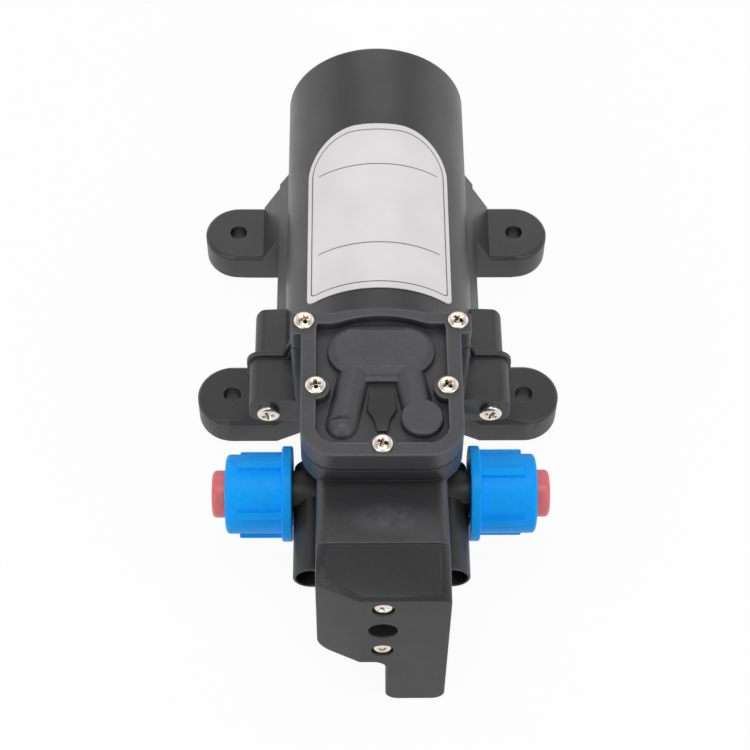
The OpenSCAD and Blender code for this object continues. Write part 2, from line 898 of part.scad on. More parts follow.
module pump_body() {
    screw_r = head_screw_d / 2 + run_gap;
    boss_hole_r = body_screw_d / 2 + free_gap;
    switch_hole_y = block_front_y + switch_screw_grip + screw_end_gap;
    color(shell_black)
        difference() {
            union() {
                crankcase();
                port_block();
                both_sides() {
                    front_boss();
                    front_foot();
                    port();
                }
            }
            // Crank chamber and the opening below the diaphragm
            rod_y(chamber_r, crankcase_front_y + crankcase_wall, seam_y + past, z = axis_z);
            translate([0, crank_y, axis_z])
                cylinder(r = plate_chamber_r, h = body_top_z - axis_z);
            translate([0, crank_y, pocket_z])
                cylinder(r = pocket_r, h = pocket_d + past);
            // Water passages
            passages(port_z, body_top_z + past);
            both_sides()
                rod_x(tail_bore_r, passage_x, tail_end_x + past, port_y, port_z);
            // Pressure gallery to the switch
            rod_x(gallery_r, 0, passage_x, passage_y, switch_z);
            rod_y(gallery_r, block_front_y - past, passage_y, z = switch_z);
            rod_y(recess_r, block_front_y - past, membrane_y, z = switch_z);
            // Screw holes
            head_screw_holes(head_top_z - head_screw_len, body_top_z + past, screw_r);
            for (z = [switch_z - switch_screw_rise, switch_z + switch_screw_rise])
                rod_y(switch_screw_d / 2 + run_gap, block_front_y - past, switch_hole_y, z = z);
            both_sides() {
                foot_hole(-foot_span_y / 2);
                rod_y(boss_hole_r, seam_y - boss_front_len - past, seam_y + past, boss_x, axis_z);
                rod_y(tube_r - tube_wall, tube_front_y - past, tube_front_y + tube_socket, tube_x, port_z);
            }
        }
}

// Oblong valve chamber with bevelled upper edges, standing on Z = 0
module oblong(h) {
    mid = oblong_half_w - oblong_r;
    for (x = [-mid, mid])
        translate([x, 0, 0])
            bevelled_disc(oblong_r, h, oblong_bevel, oblong_bevel_h);
    bevelled_bar(-mid, mid, oblong_r, h, oblong_bevel, oblong_bevel_h);
}

// A channel of radius r from a valve to a passage, with a round end
module channel(r, side, z = channel_z) {
    start = 3;
    from = [side * valve_x, valve_y - start];
    run = [side * passage_x, passage_y] - from;
    translate([from[0], from[1], z])
        rotate([0, 90, atan2(run[1], run[0])])
            dome_top_rod(r, norm(run) + r);
}

// Shield between the channels, with a bar behind it, which narrows towards the front screw
module shield() {
    bar_w = 1.8;
    bar_y = valve_y - oblong_r - bar_w;
    bar_rise = 1.2;
    groove_w = 2.6;
    shield_rise = 0.8;
    rear_half = 2.9;
    wide_half = 3.5;
    wide_back = 11;
    neck_half = 1.9;
    neck_back = 8.1;
    front_half = 1.2;
    front_back = 5;
    translate([-valve_x, bar_y, cover_bottom_z + past])
        cube([2 * valve_x, oblong_r, recess_z - cover_bottom_z + bar_rise - past]);
    translate([0, 0, cover_bottom_z + past])
        linear_extrude(recess_z - cover_bottom_z + shield_rise - past)
            both_sides()
                polygon([
                    [-past, bar_y - groove_w], [rear_half, bar_y - groove_w],
                    [wide_half, front_screw_y + wide_back], [neck_half, front_screw_y + neck_back],
                    [front_half, front_screw_y + front_back], [-past, front_screw_y + front_back]
                ]);
}

module head_cover() {
    boss_over = 0.6;
    boss_r = channel_r + boss_over;
    boss_back = 1.4;
    boss_fall = 0.4;
    boss_edge = 0.8;
    well_roof = 1.6;
    way_in = 0.4;
    way_z = cover_bottom_z + 2.35;
    way_r = passage_r - way_in;
    color(shell_black)
        difference() {
            union() {
                difference() {
                    translate([0, 0, cover_bottom_z])
                        linear_extrude(head_cover_h)
                            head_plan();
                    translate([0, 0, recess_z])
                        linear_extrude(recess_d + past)
                            head_outline(rim_w, rear_rim_w, arch_inner_rise);
                }
                // Pads round the screws, up to the rim
                translate([0, 0, cover_bottom_z])
                    linear_extrude(head_cover_h)
                        intersection() {
                            head_outline();
                            for (p = head_screw_at)
                                translate(p)
                                    circle(screw_pad_r);
                        }
                translate([0, valve_y, cover_bottom_z + past])
                    oblong(head_cover_h - past);
                intersection() {
                    for (side = [-1, 1])
                        channel(channel_r, side);
                    translate([-head_half_w, head_front_y, cover_bottom_z + past])
                        cube([2 * head_half_w, head_front + head_rear, head_cover_h]);
                }
                // Round boss at the end of the right channel
                translate([passage_x, passage_y + boss_back, cover_bottom_z + past])
                    round_top_rod(boss_r, head_cover_h - past - boss_fall, boss_edge);
                shield();
            }
            // Valve wells and the water ways to the passages
            for (side = [-1, 1]) {
                translate([side * valve_x, valve_y, cover_bottom_z - past])
                    cylinder(r = valve_r + 2 * free_gap, h = head_cover_h - well_roof + past);
                channel(way_r, side, way_z);
            }
            passages(cover_bottom_z - past, recess_z);
            head_screw_holes(cover_bottom_z - past, head_top_z + past, head_screw_d / 2 + run_gap);
        }
}

module head_gasket() {
    color(rubber_black)
        translate([0, 0, body_top_z])
            linear_extrude(gasket_t)
                difference() {
                    head_plan();
                    for (p = head_screw_at)
                        translate(p)
                            circle(head_screw_d / 2 + free_gap);
                    for (side = [-1, 1]) {
                        translate([side * valve_x, valve_y])
                            circle(valve_r + 2 * free_gap);
                        translate([side * passage_x, passage_y])
                            circle(passage_r + free_gap);
                    }
                }
}

module head_screws() {
    color(screw_nickel)
        for (p = head_screw_at)
            translate([p[0], p[1], head_top_z])
                pan_screw(head_screw_head_d, head_screw_d, head_screw_len - seat_gap);
}

module body_screws() {
    len = boss_front_len + boss_rear_len - boss_floor - screw_end_gap;
    color(screw_nickel)
        both_sides()
            translate([boss_x, seam_y - boss_front_len, axis_z])
                rotate([90, 0, 0])
                    pan_screw(body_screw_head_d, body_screw_d, len);
}

// Union nut on the right-hand port, with its ribs turned by an angle
module union_nut(turn) {
    edge = 1.1;
    flange_edge = 0.5;
    color(nut_blue)
        translate([nut_x, port_y, port_z])
            rotate([0, 90, 0])
                difference() {
                    union() {
                        round_top_rod(nut_r, nut_len, edge);
                        round_top_rod(nut_flange_r, nut_flange_t, flange_edge);
                        for (i = [0:nut_ribs - 1])
                            rotate([0, 0, turn + i * 360 / nut_ribs])
                                translate([nut_r - past, -rib_w / 2, 0])
                                    cube([rib_h + past, rib_w, rib_len]);
                    }
                    translate([0, 0, -past])
                        cylinder(r = nut_bore_r, h = thread_end_x - nut_x + past + seat_gap);
                    cylinder(r = nut_mouth_r, h = nut_len + past);
                }
}

module left_union_nut() {
    mirror([1, 0, 0])
        union_nut(left_nut_turn);
}

module right_union_nut() {
    union_nut(right_nut_turn);
}

// Dust plug: a soft cap over the hose tail
module dust_plug() {
    len = plug_end_x - plug_x;
    edge = 1.1;
    color(plug_red)
        translate([plug_x, port_y, port_z])
            rotate([0, 90, 0])
                difference() {
                    round_top_rod(plug_r, len, edge);
                    translate([0, 0, -past])
                        cylinder(r = plug_bore_r, h = tail_end_x - plug_x + past + free_gap);
                }
}

module left_dust_plug() {
    mirror([1, 0, 0])
        dust_plug();
}

module right_dust_plug() {
    dust_plug();
}

// Outline of the switch cover seen from the front, drawn in by an inset
module switch_outline(inset = 0) {
    half = block_half_w - inset;
    top = block_top_z - inset;
    bottom = block_bottom_z + inset;
    corner = block_edge_r - inset / 2;
    low = switch_corner_r - inset;
    translate([low - half, bottom])
        square([2 * half - low, top - corner - bottom]);
    translate([-half, bottom + low])
        square([2 * half, top - corner - bottom - low]);
    translate([corner - half, bottom + low])
        square([2 * (half - corner), top - bottom - low]);
    for (x = [-1, 1])
        translate([x * (half - corner), top - corner])
            circle(corner);
    translate([low - half, bottom + low])
        circle(low);
}

// Outline of the leg with rounded lower corners and a round notch corner
module leg_outline() {
    width = block_half_w - leg_x;
    translate([leg_x, leg_z + leg_edge_r])
        square([width, block_bottom_z - leg_z - leg_edge_r + past]);
    translate([leg_x + leg_edge_r, leg_z])
        square([width - 2 * leg_edge_r, leg_edge_r + past]);
    for (x = [leg_x + leg_edge_r, block_half_w - leg_edge_r])
        translate([x, leg_z + leg_edge_r])
            circle(leg_edge_r);
    difference() {
        translate([leg_x - leg_edge_r, block_bottom_z - leg_edge_r])
            square(leg_edge_r + past);
        translate([leg_x - leg_edge_r, block_bottom_z - leg_edge_r])
            circle(leg_edge_r);
    }
}

// Tool that cuts the slanted front corner, moved inwards by an inset
module slant_cut(inset = 0) {
    slant_len = norm([slant_w, slant_d]);
    along = [-slant_w, slant_d] / slant_len;
    out = [-slant_d, -slant_w] / slant_len;
    near = [slant_w - block_half_w, switch_front_y] - out * inset - along * slant_len / 2;
    far = near + 2 * along * slant_len;
    translate([0, 0, -past])
        linear_extrude(block_top_z + 2 * past)
            polygon([near, far, far + out * slant_len, near + out * slant_len]);
}

// Tool that bevels the front of the cover's top, along the slanted corner too
module top_bevel() {
    reach = 4 * block_half_w;
    slant_extra = 0.1;
    for (edge = [[0, switch_bevel], [atan2(slant_d, slant_w), switch_bevel + slant_extra]])
        translate([slant_w - block_half_w, switch_front_y, block_top_z])
            rotate([45, 0, -edge[0]])
                cube([reach, edge[1] * sqrt(2), edge[1] * sqrt(2)], center = true);
}

module switch_cover() {
    post_r = switch_screw_d / 2 + switch_wall;
    sink_r = switch_screw_head_d / 2 + free_gap;
    screw_z = [switch_z - switch_screw_rise, switch_z + switch_screw_rise];
    inner_y = switch_front_y + switch_wall;
    duct_w = block_half_w - leg_x - 2 * switch_wall;
    color(shell_black)
        difference() {
            union() {
                difference() {
                    prism_y(switch_front_y, block_front_y - run_gap) {
                        switch_outline();
                        leg_outline();
                    }
                    slant_cut();
                    top_bevel();
                    difference() {
                        prism_y(inner_y, block_front_y + past)
                            switch_outline(switch_wall);
                        slant_cut(switch_wall);
                    }
                    // Way for the leads, open to the rear below the port block
                    translate([leg_x + switch_wall, inner_y, leg_z + switch_wall])
                        cube([duct_w, switch_depth, block_bottom_z - leg_z + switch_wall]);
                }
                for (z = screw_z)
                    rod_y(post_r, inner_y - past, block_front_y - run_gap, z = z);
                rod_y(adjuster_tube_r, inner_y - past, adjuster_rear_y, z = switch_z);
            }
            rod_y(adjust_hole_d / 2, switch_front_y - past, adjuster_rear_y + past, z = switch_z);
            for (z = screw_z) {
                rod_y(switch_screw_d / 2 + run_gap, switch_front_y - past, block_front_y + past, z = z);
                rod_y(sink_r, switch_front_y - past, switch_front_y + sink_d, z = z);
            }
        }
}

module switch_screws() {
    color(screw_nickel)
        for (z = [-1, 1])
            translate([0, switch_front_y + sink_d, switch_z + z * switch_screw_rise])
                rotate([90, 0, 0])
                    pan_screw(switch_screw_head_d, switch_screw_d, switch_depth - sink_d + switch_screw_grip);
}

module pressure_membrane() {
    color(rubber_black)
        rod_y(recess_r - seat_gap, membrane_y - membrane_t, membrane_y - run_gap, z = switch_z);
}

module guide_ring() {
    color([0.85, 0.84, 0.80])
        difference() {
            rod_y(recess_r - run_gap, block_front_y + run_gap, guide_y, z = switch_z);
            rod_y(guide_bore_r, block_front_y - past, guide_y + past, z = switch_z);
        }
}

module switch_plunger() {
    color([0.85, 0.84, 0.80]) {
        rod_y(plunger_r, block_front_y + run_gap, plunger_y, z = switch_z);
        rod_y(neck_plunger_r, arm_y - arm_t, block_front_y + past, z = switch_z);
        translate([0, arm_y - arm_t, switch_z - arm_w / 2])
            cube([micro_x + micro_w - arm_t, arm_t, arm_w]);
    }
}

module switch_spring() {
    len = arm_y - arm_t - adjuster_rear_y - 2 * spring_gap;
    turns = 4;
    color(steel_grey)
        translate([0, arm_y - arm_t - spring_gap, switch_z])
            rotate([90, 0, 0])
                coil_spring(spring_r, spring_wire, len, turns);
}

module adjusting_screw() {
    slot_w = 1;
    color([0.25, 0.25, 0.27])
        difference() {
            rod_y(adjuster_r, adjuster_rear_y - adjuster_len, adjuster_rear_y, z = switch_z);
            translate([-adjuster_r - past, adjuster_rear_y - adjuster_len - past, switch_z - slot_w / 2])
                cube([2 * (adjuster_r + past), past + slot_w, slot_w]);
        }
}

module microswitch() {
    hole_r = 1;
    hole_in = 1.6;
    slot_d = button_in + plunger_travel + seat_gap;
    color([0.12, 0.12, 0.13])
        difference() {
            translate([micro_x, micro_front_y, switch_z - micro_h / 2])
                cube([micro_w, micro_rear_y - micro_front_y, micro_h]);
            for (z = [-1, 1])
                rod_x(hole_r, micro_x - past, micro_x + micro_w + past,
                    micro_front_y + hole_in, switch_z + z * micro_h / 4);
            translate([button_x - run_gap, micro_rear_y - slot_d, switch_z - button_w])
                cube([button_w + 2 * run_gap, slot_d + past, 2 * button_w]);
        }
}

module microswitch_button() {
    color([0.80, 0.15, 0.15])
        translate([button_x, micro_rear_y - button_in, switch_z - button_w + run_gap])
            cube([button_w, arm_y - arm_t - seat_gap - micro_rear_y + button_in, 2 * (button_w - run_gap)]);
}

module motor_can() {
    hole_gap = 0.8;
    hole_r = shaft_r + hole_gap;
    color(steel_grey)
        revolve_y(z = axis_z)
            polygon([
                [hole_r, can_boss_y], [can_boss_r, can_boss_y], [can_boss_r, can_front_y],
                [can_r, can_front_y], [can_r, can_rear_y], [can_inner_r, can_rear_y],
                [can_inner_r, can_front_y + can_wall], [can_boss_r - can_wall, can_front_y + can_wall],
                [can_boss_r - can_wall, can_boss_y + can_wall], [hole_r, can_boss_y + can_wall]
            ]);
}

module magnets() {
    half_angle = 65;
    reach = 2 * magnet_r;
    magnet_over = 3;
    front_y = core_front_y - magnet_over;
    rear_y = core_rear_y + magnet_over;
    color([0.22, 0.22, 0.24])
        both_sides()
            intersection() {
                difference() {
                    rod_y(magnet_r, front_y, rear_y, z = axis_z);
                    rod_y(magnet_r - magnet_t, front_y - past, rear_y + past, z = axis_z);
                }
                prism_y(front_y, rear_y)
                    translate([0, axis_z])
                        polygon([
                            [0, 0], [reach * cos(half_angle), -reach * sin(half_angle)], [reach, -reach],
                            [reach, reach], [reach * cos(half_angle), reach * sin(half_angle)]
                        ]);
            }
}

module end_bell() {
    block_in = 0.4;
    block_y = commutator_front_y + block_in;
    half_h = brush_w / 2 + holder_wall;
    holder_gap = 1;
    holder_x = brush_x + holder_gap;
    holder_len = holder_end_x - holder_x + holder_wall;
    color([0.14, 0.14, 0.15])
        difference() {
            union() {
                rod_y(can_r, can_rear_y + run_gap, bell_face_y, z = axis_z);
                rod_y(can_inner_r - run_gap, bell_spigot_y, can_rear_y + past, z = axis_z);
                rod_y(bell_boss_r, bell_face_y - past, bell_rear_y, z = axis_z);
                both_sides()
                    translate([holder_x, block_y, axis_z - half_h])
                        cube([holder_len, bell_spigot_y - block_y + past, 2 * half_h]);
            }
            rod_y(bush_r + run_gap, bell_spigot_y - past, bush_rear_y, z = axis_z);
            both_sides()
                translate([brush_x, brush_y - brush_w / 2 - run_gap, axis_z - brush_w / 2 - run_gap])
                    cube([holder_end_x - brush_x, brush_w + 2 * run_gap, brush_w + 2 * run_gap]);
        }
}

module brushes() {
    color([0.18, 0.18, 0.19])
        both_sides()
            difference() {
                translate([brush_x - past, brush_y - brush_w / 2, axis_z - brush_w / 2])
                    cube([brush_len + past, brush_w, brush_w]);
                rod_y(brush_x, brush_y - brush_w, brush_y + brush_w, z = axis_z);
            }
}

module brush_springs() {
    wire = 0.5;
    from = brush_x + brush_len + spring_gap;
    color(steel_grey)
        both_sides()
            translate([from, brush_y, axis_z])
                rotate([0, 90, 0])
                    coil_spring(brush_w / 2 - wire, wire, holder_end_x - from - spring_gap, 4);
}

module front_bearing() {
    rear_y = can_front_y + can_wall;
    color(steel_grey)
        difference() {
            rod_y(can_boss_r - can_wall - run_gap, can_boss_y + can_wall + run_gap, rear_y, z = axis_z);
            rod_y(shaft_r + run_gap, can_boss_y - past, rear_y + past, z = axis_z);
        }
}

module rear_bush() {
    color([0.70, 0.55, 0.30])
        difference() {
            rod_y(bush_r, bell_spigot_y, bush_rear_y - run_gap, z = axis_z);
            rod_y(shaft_r + run_gap, bell_spigot_y - past, bell_rear_y, z = axis_z);
        }
}

module motor_shaft() {
    color(steel_grey)
        difference() {
            rod_y(shaft_r, shaft_front_y, shaft_rear_y, z = axis_z);
            translate([shaft_r - shaft_flat, shaft_front_y - past, axis_z - shaft_r])
                cube([shaft_flat + past, hub_front_y + hub_len - shaft_front_y + past, shaft_d]);
        }
}

// Outline of one armature slot, opening to the rim
module armature_slot(r, mouth) {
    translate([slot_at, 0])
        circle(r);
    translate([slot_at, -mouth / 2])
        square([core_r, mouth]);
}

module armature_core() {
    color(steel_grey)
        prism_y(core_front_y, core_rear_y)
            translate([0, axis_z])
                difference() {
                    circle(core_r);
                    circle(shaft_r + run_gap);
                    for (i = [0:poles - 1])
                        rotate(i * 360 / poles)
                            armature_slot(slot_r, slot_mouth_w);
                }
}

module windings() {
    ring_in = 0.6;
    ring_r = slot_at + slot_r - ring_in;
    ring_out = 0.2;
    ring_inner_r = slot_at - slot_r + ring_out;
    turn_edge = 2;
    color(copper_brown) {
        for (i = [0:poles - 1])
            rotate_about_axis(i * 360 / poles)
                rod_y(slot_r - seat_gap, core_front_y - past, core_rear_y + past, slot_at, 0);
        for (y = [core_front_y - end_turn_len, core_rear_y + seat_gap])
            revolve_y(z = axis_z) {
                translate([ring_inner_r, y + turn_edge])
                    square([ring_r - ring_inner_r, end_turn_len - seat_gap - 2 * turn_edge]);
                translate([ring_inner_r + turn_edge, y])
                    square([ring_r - ring_inner_r - 2 * turn_edge, end_turn_len - seat_gap]);
                for (r = [ring_inner_r + turn_edge, ring_r - turn_edge])
                    for (v = [turn_edge, end_turn_len - seat_gap - turn_edge])
                        translate([r, y + v])
                            circle(turn_edge);
            }
    }
}

module commutator() {
    slit = 0.5;
    slit_d = 0.8;
    color(copper_brown)
        difference() {
            rod_y(commutator_r, commutator_front_y, commutator_rear_y, z = axis_z);
            rod_y(shaft_r + run_gap, commutator_front_y - past, commutator_rear_y + past, z = axis_z);
            for (i = [0:poles - 1])
                rotate_about_axis((i + 0.5) * 360 / poles)
                    translate([commutator_r - slit_d, commutator_front_y - past, -slit / 2])
                        cube([slit_d + past, commutator_len + 2 * past, slit]);
        }
}

module eccentric() {
    pin_front_y = bearing_front_y - collar_t;
    collar_rim = 1.2;
    color(steel_grey)
        difference() {
            union() {
                rod_y(pin_r, pin_front_y, hub_front_y + past, z = pin_z);
                rod_y(pin_r + collar_rim, hub_front_y - collar_t, hub_front_y + past, z = pin_z);
                rod_y(hub_r, hub_front_y, hub_front_y + hub_len, z = axis_z);
                intersection() {
                    rod_y(weight_r, hub_front_y, hub_front_y + weight_t, z = axis_z);
                    translate([-weight_r - past, hub_front_y - past, axis_z - weight_r - past])
                        cube([2 * (weight_r + past), weight_t + 2 * past, weight_r]);
                }
            }
            rod_y(shaft_r + run_gap, pin_front_y - past, hub_front_y + hub_len + past, z = axis_z);
            rod_x(set_screw_r + run_gap, 0, hub_r + past, set_screw_y, axis_z);
        }
}

module set_screw() {
    color([0.25, 0.25, 0.27])
        rod_x(set_screw_r, shaft_r - shaft_flat + seat_gap, hub_r - seat_gap, set_screw_y, axis_z);
}

// Ball bearing: two grooved rings and their balls
module crank_bearing() {
    balls = 9;
    bore_r = bearing_bore / 2;
    ball_r = (bearing_r - bore_r) * 0.3;
    pitch_r = (bearing_r + bore_r) / 2;
    land = (bearing_r - bore_r) * 0.36;
    color(steel_grey) {
        difference() {
            for (ring = [[bore_r, bore_r + land], [bearing_r - land, bearing_r]])
                revolve_y(z = pin_z)
                    translate([ring[0], bearing_front_y])
                        square([ring[1] - ring[0], bearing_w]);
            revolve_y(z = pin_z)
                translate([pitch_r, crank_y])
                    circle(ball_r + run_gap);
        }
        for (i = [0:balls - 1])
            translate([pitch_r * cos(i * 360 / balls), crank_y, pin_z + pitch_r * sin(i * 360 / balls)])
                sphere(ball_r);
    }
}

module connecting_rod() {
    foot_half = 7;
    top_half = 3.8;
    post_r = (bearing_w + collar_t) / 2;
    color([0.88, 0.87, 0.83])
        difference() {
            union() {
                rod_y(rod_r, bearing_front_y, bearing_rear_y, z = pin_z);
                prism_y(bearing_front_y, bearing_rear_y)
                    polygon([
                        [-foot_half, pin_z + bearing_r], [foot_half, pin_z + bearing_r],
                        [top_half, rod_top_z], [-top_half, rod_top_z]
                    ]);
                translate([0, crank_y, pin_z + rod_r - past])
                    cylinder(r = post_r, h = rod_top_z - pin_z - rod_r + past);
            }
            rod_y(bearing_r + run_gap, bearing_front_y - past, bearing_rear_y + past, z = pin_z);
            translate([0, crank_y, disc_top_z - clamp_screw_len])
                cylinder(r = clamp_screw_r + run_gap, h = clamp_screw_len);
        }
}

// Rubber diaphragm: a flat middle, a rolled fold and a thick rim
module diaphragm() {
    steps = 12;
    fold_from = disc_r + free_gap;
    fold_gap = 0.4;
    fold_to = plate_chamber_r - fold_gap;
    fold_d = 0.9;
    mid_z = [for (i = [0:steps])
        let (t = i / steps)
        disc_z + (pocket_z + rim_t / 2 - diaphragm_t / 2 - disc_z) * t - fold_d * sin(180 * t)];
    at = [for (i = [0:steps]) fold_from + (fold_to - fold_from) * i / steps];
    under = [for (i = [0:steps]) [at[i], mid_z[i]]];
    over = [for (i = [steps:-1:0]) [at[i], mid_z[i] + diaphragm_t]];
    color(rubber_black)
        translate([0, crank_y, 0])
            rotate_extrude()
                polygon(concat(
                    [[clamp_screw_r + seat_gap, disc_z]], under,
                    [[plate_chamber_r, pocket_z], [diaphragm_r, pocket_z],
                        [diaphragm_r, pocket_z + rim_t], [plate_chamber_r, pocket_z + rim_t]],
                    over, [[clamp_screw_r + seat_gap, disc_top_z]]));
}

module diaphragm_support() {
    color([0.88, 0.87, 0.83])
        translate([0, crank_y, rod_top_z])
            difference() {
                cylinder(r1 = disc_r - disc_taper, r2 = disc_r, h = support_t - run_gap);
                translate([0, 0, -past])
                    cylinder(r = clamp_screw_r + run_gap, h = support_t + 2 * past);
            }
}

module diaphragm_clamp() {
    color([0.88, 0.87, 0.83])
        translate([0, crank_y, disc_top_z + run_gap])
            difference() {
                cylinder(r1 = disc_r, r2 = disc_r - disc_taper, h = clamp_t - run_gap);
                translate([0, 0, -past])
                    cylinder(r = clamp_screw_r + run_gap, h = clamp_t + 2 * past);
                cylinder(r1 = clamp_screw_r + run_gap, r2 = clamp_screw_r + clamp_t, h = clamp_t);
            }
}

module clamp_screw() {
    color(screw_nickel)
        translate([0, crank_y, disc_top_z]) {
            translate([0, 0, -clamp_screw_len + seat_gap])
                cylinder(r = clamp_screw_r, h = clamp_screw_len);
            translate([0, 0, seat_gap])
                cylinder(r1 = clamp_screw_r, r2 = clamp_screw_r + clamp_t - seat_gap, h = clamp_t - seat_gap);
        }
}

module valve_plate() {
    port_r = 0.7;
    port_at = 2.2;
    color([0.20, 0.20, 0.22])
        difference() {
            translate([0, crank_y, plate_z])
                cylinder(r = pocket_r - seat_gap, h = body_top_z - plate_z - run_gap);
            translate([0, crank_y, plate_z - past])
                cylinder(r = plate_chamber_r, h = plate_chamber_h + past);
            for (side = [-1, 1])
                translate([side * valve_x, valve_y, 0]) {
                    translate([0, 0, web_top_z])
                        cylinder(r = valve_r + 2 * free_gap, h = body_top_z);
                    translate([0, 0, web_z - past])
                        cylinder(r = stem_r + run_gap, h = web_t + 2 * past);
                    for (a = [0:72:288])
                        translate([port_at * cos(a), port_at * sin(a), web_z - past])
                            cylinder(r = port_r, h = web_t + 2 * past);
                }
        }
}

// Umbrella valve standing on Z = 0: skirt, stem and the bulb that holds it in the plate
module umbrella_valve() {
    bulb_h = 1.1;
    bulb_out = 0.5;
    skirt_taper = 0.7;
    color([0.16, 0.16, 0.17]) {
        translate([0, 0, run_gap])
            cylinder(r1 = valve_r, r2 = valve_r - skirt_taper, h = valve_skirt_t);
        translate([0, 0, -web_t - run_gap - bulb_h])
            cylinder(r = stem_r, h = web_t + bulb_h + 2 * run_gap);
        translate([0, 0, -web_t - run_gap - bulb_h])
            cylinder(r1 = stem_r, r2 = stem_r + bulb_out, h = bulb_h);
    }
}

module inlet_valve() {
    translate([-valve_x, valve_y, web_z])
        mirror([0, 0, 1])
            umbrella_valve();
}

module outlet_valve() {
    translate([valve_x, valve_y, web_top_z])
        umbrella_valve();
}

motor_cover();
rating_label();
pump_body();
head_cover();
head_gasket();
head_screws();
body_screws();
left_union_nut();
right_union_nut();
left_dust_plug();
right_dust_plug();
switch_cover();
switch_screws();
pressure_membrane();
guide_ring();
switch_plunger();
switch_spring();
adjusting_screw();
microswitch();
microswitch_button();
motor_can();
magnets();
end_bell();
brushes();
brush_springs();
front_bearing();
rear_bush();
motor_shaft();
armature_core();
windings();
commutator();
eccentric();
set_screw();
crank_bearing();
connecting_rod();
diaphragm();
diaphragm_support();
diaphragm_clamp();
clamp_screw();
valve_plate();
inlet_valve();
outlet_valve();
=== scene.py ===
"""Looks of a small diaphragm water pump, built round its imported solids."""

import itertools
import json
import math

import bmesh
import bpy
from bpy.props import FloatProperty, FloatVectorProperty, IntProperty, PointerProperty
from mathutils import Matrix, Quaternion, Vector

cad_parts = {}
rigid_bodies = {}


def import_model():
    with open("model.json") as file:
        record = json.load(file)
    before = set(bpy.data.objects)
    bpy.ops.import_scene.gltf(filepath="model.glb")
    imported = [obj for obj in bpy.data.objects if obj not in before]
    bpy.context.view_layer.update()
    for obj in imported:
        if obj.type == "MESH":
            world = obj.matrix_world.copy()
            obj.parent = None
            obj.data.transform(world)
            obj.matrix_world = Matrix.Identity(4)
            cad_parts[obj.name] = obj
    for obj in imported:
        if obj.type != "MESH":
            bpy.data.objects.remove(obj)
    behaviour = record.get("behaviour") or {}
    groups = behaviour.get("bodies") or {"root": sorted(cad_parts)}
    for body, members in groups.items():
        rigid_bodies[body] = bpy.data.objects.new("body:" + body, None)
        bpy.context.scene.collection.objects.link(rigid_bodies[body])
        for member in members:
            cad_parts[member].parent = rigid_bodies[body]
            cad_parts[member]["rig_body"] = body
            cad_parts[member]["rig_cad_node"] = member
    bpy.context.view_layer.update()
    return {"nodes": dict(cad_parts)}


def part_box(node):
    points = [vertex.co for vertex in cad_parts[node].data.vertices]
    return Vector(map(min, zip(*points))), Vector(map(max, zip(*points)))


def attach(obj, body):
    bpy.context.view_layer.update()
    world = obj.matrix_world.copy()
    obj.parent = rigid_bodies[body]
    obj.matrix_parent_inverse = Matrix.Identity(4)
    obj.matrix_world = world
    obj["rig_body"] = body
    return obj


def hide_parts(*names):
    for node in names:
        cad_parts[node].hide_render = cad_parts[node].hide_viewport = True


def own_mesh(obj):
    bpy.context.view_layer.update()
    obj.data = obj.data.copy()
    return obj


bl_info = {
    "name": "Diaphragm water pump",
    "version": (1, 0, 0),
    "blender": (4, 5, 0),
    "location": "View3D > Sidebar > Pump",
    "description": "Dresses the packed solids of a small diaphragm water pump",
    "category": "Object",
}

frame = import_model()
NODES = frame["nodes"]

# Lengths are in metres and creases in degrees.
MM = 0.001
MERGE_DISTANCE = 2e-6
FLAT_TURN = math.radians(0.5)
SHELL_CREASE = 37
HEAD_CREASE = 25
SCREW_HEAD_HEIGHT = 1.6 * MM
NUT_EDGE = 0.35 * MM
PLUG_EDGE = 0.3 * MM


# Properties


class PumpFinish(bpy.types.PropertyGroup):
    """Colours and surface of the pump's materials."""

    shell: FloatVectorProperty(
        name="Shell", description="Colour of the moulded black shells", subtype="COLOR",
        size=3, min=0, max=1, default=(0.026, 0.0258, 0.028))
    nut: FloatVectorProperty(
        name="Union nut", description="Colour of the union nuts", subtype="COLOR",
        size=3, min=0, max=1, default=(0.004, 0.345, 1.0))
    plug: FloatVectorProperty(
        name="Dust plug", description="Colour of the dust plugs", subtype="COLOR",
        size=3, min=0, max=1, default=(0.76, 0.155, 0.17))
    label: FloatVectorProperty(
        name="Label", description="Colour of the label's film", subtype="COLOR",
        size=3, min=0, max=1, default=(0.715, 0.697, 0.70))
    line: FloatVectorProperty(
        name="Label line", description="Colour of the lines printed on the label", subtype="COLOR",
        size=3, min=0, max=1, default=(0.06, 0.055, 0.06))
    nickel: FloatVectorProperty(
        name="Screws", description="Colour of the plated screws", subtype="COLOR",
        size=3, min=0, max=1, default=(0.82, 0.76, 0.66))
    grain: FloatProperty(
        name="Grain", description="Size of the moulded grain", unit="LENGTH",
        min=0.00005, max=0.002, default=0.00028)
    edge: FloatProperty(
        name="Edge", description="Radius of the shells' small edges", unit="LENGTH",
        min=0.0001, max=0.001, default=0.0003)


class PumpScrew(bpy.types.PropertyGroup):
    """Sizes of the cross recess in a screw head, as shares of the head's diameter."""

    recess_len: FloatProperty(
        name="Recess length", description="Length of the cross across the head", subtype="FACTOR",
        min=0.3, max=0.8, default=0.66)
    recess_width: FloatProperty(
        name="Recess width", description="Width of one blade of the cross", subtype="FACTOR",
        min=0.08, max=0.3, default=0.20)
    recess_depth: FloatProperty(
        name="Recess depth", description="Depth of the cross in the middle", subtype="FACTOR",
        min=0.1, max=0.4, default=0.19)
    facets: IntProperty(
        name="Facets", description="Sides of the round head", min=16, max=96, default=48)


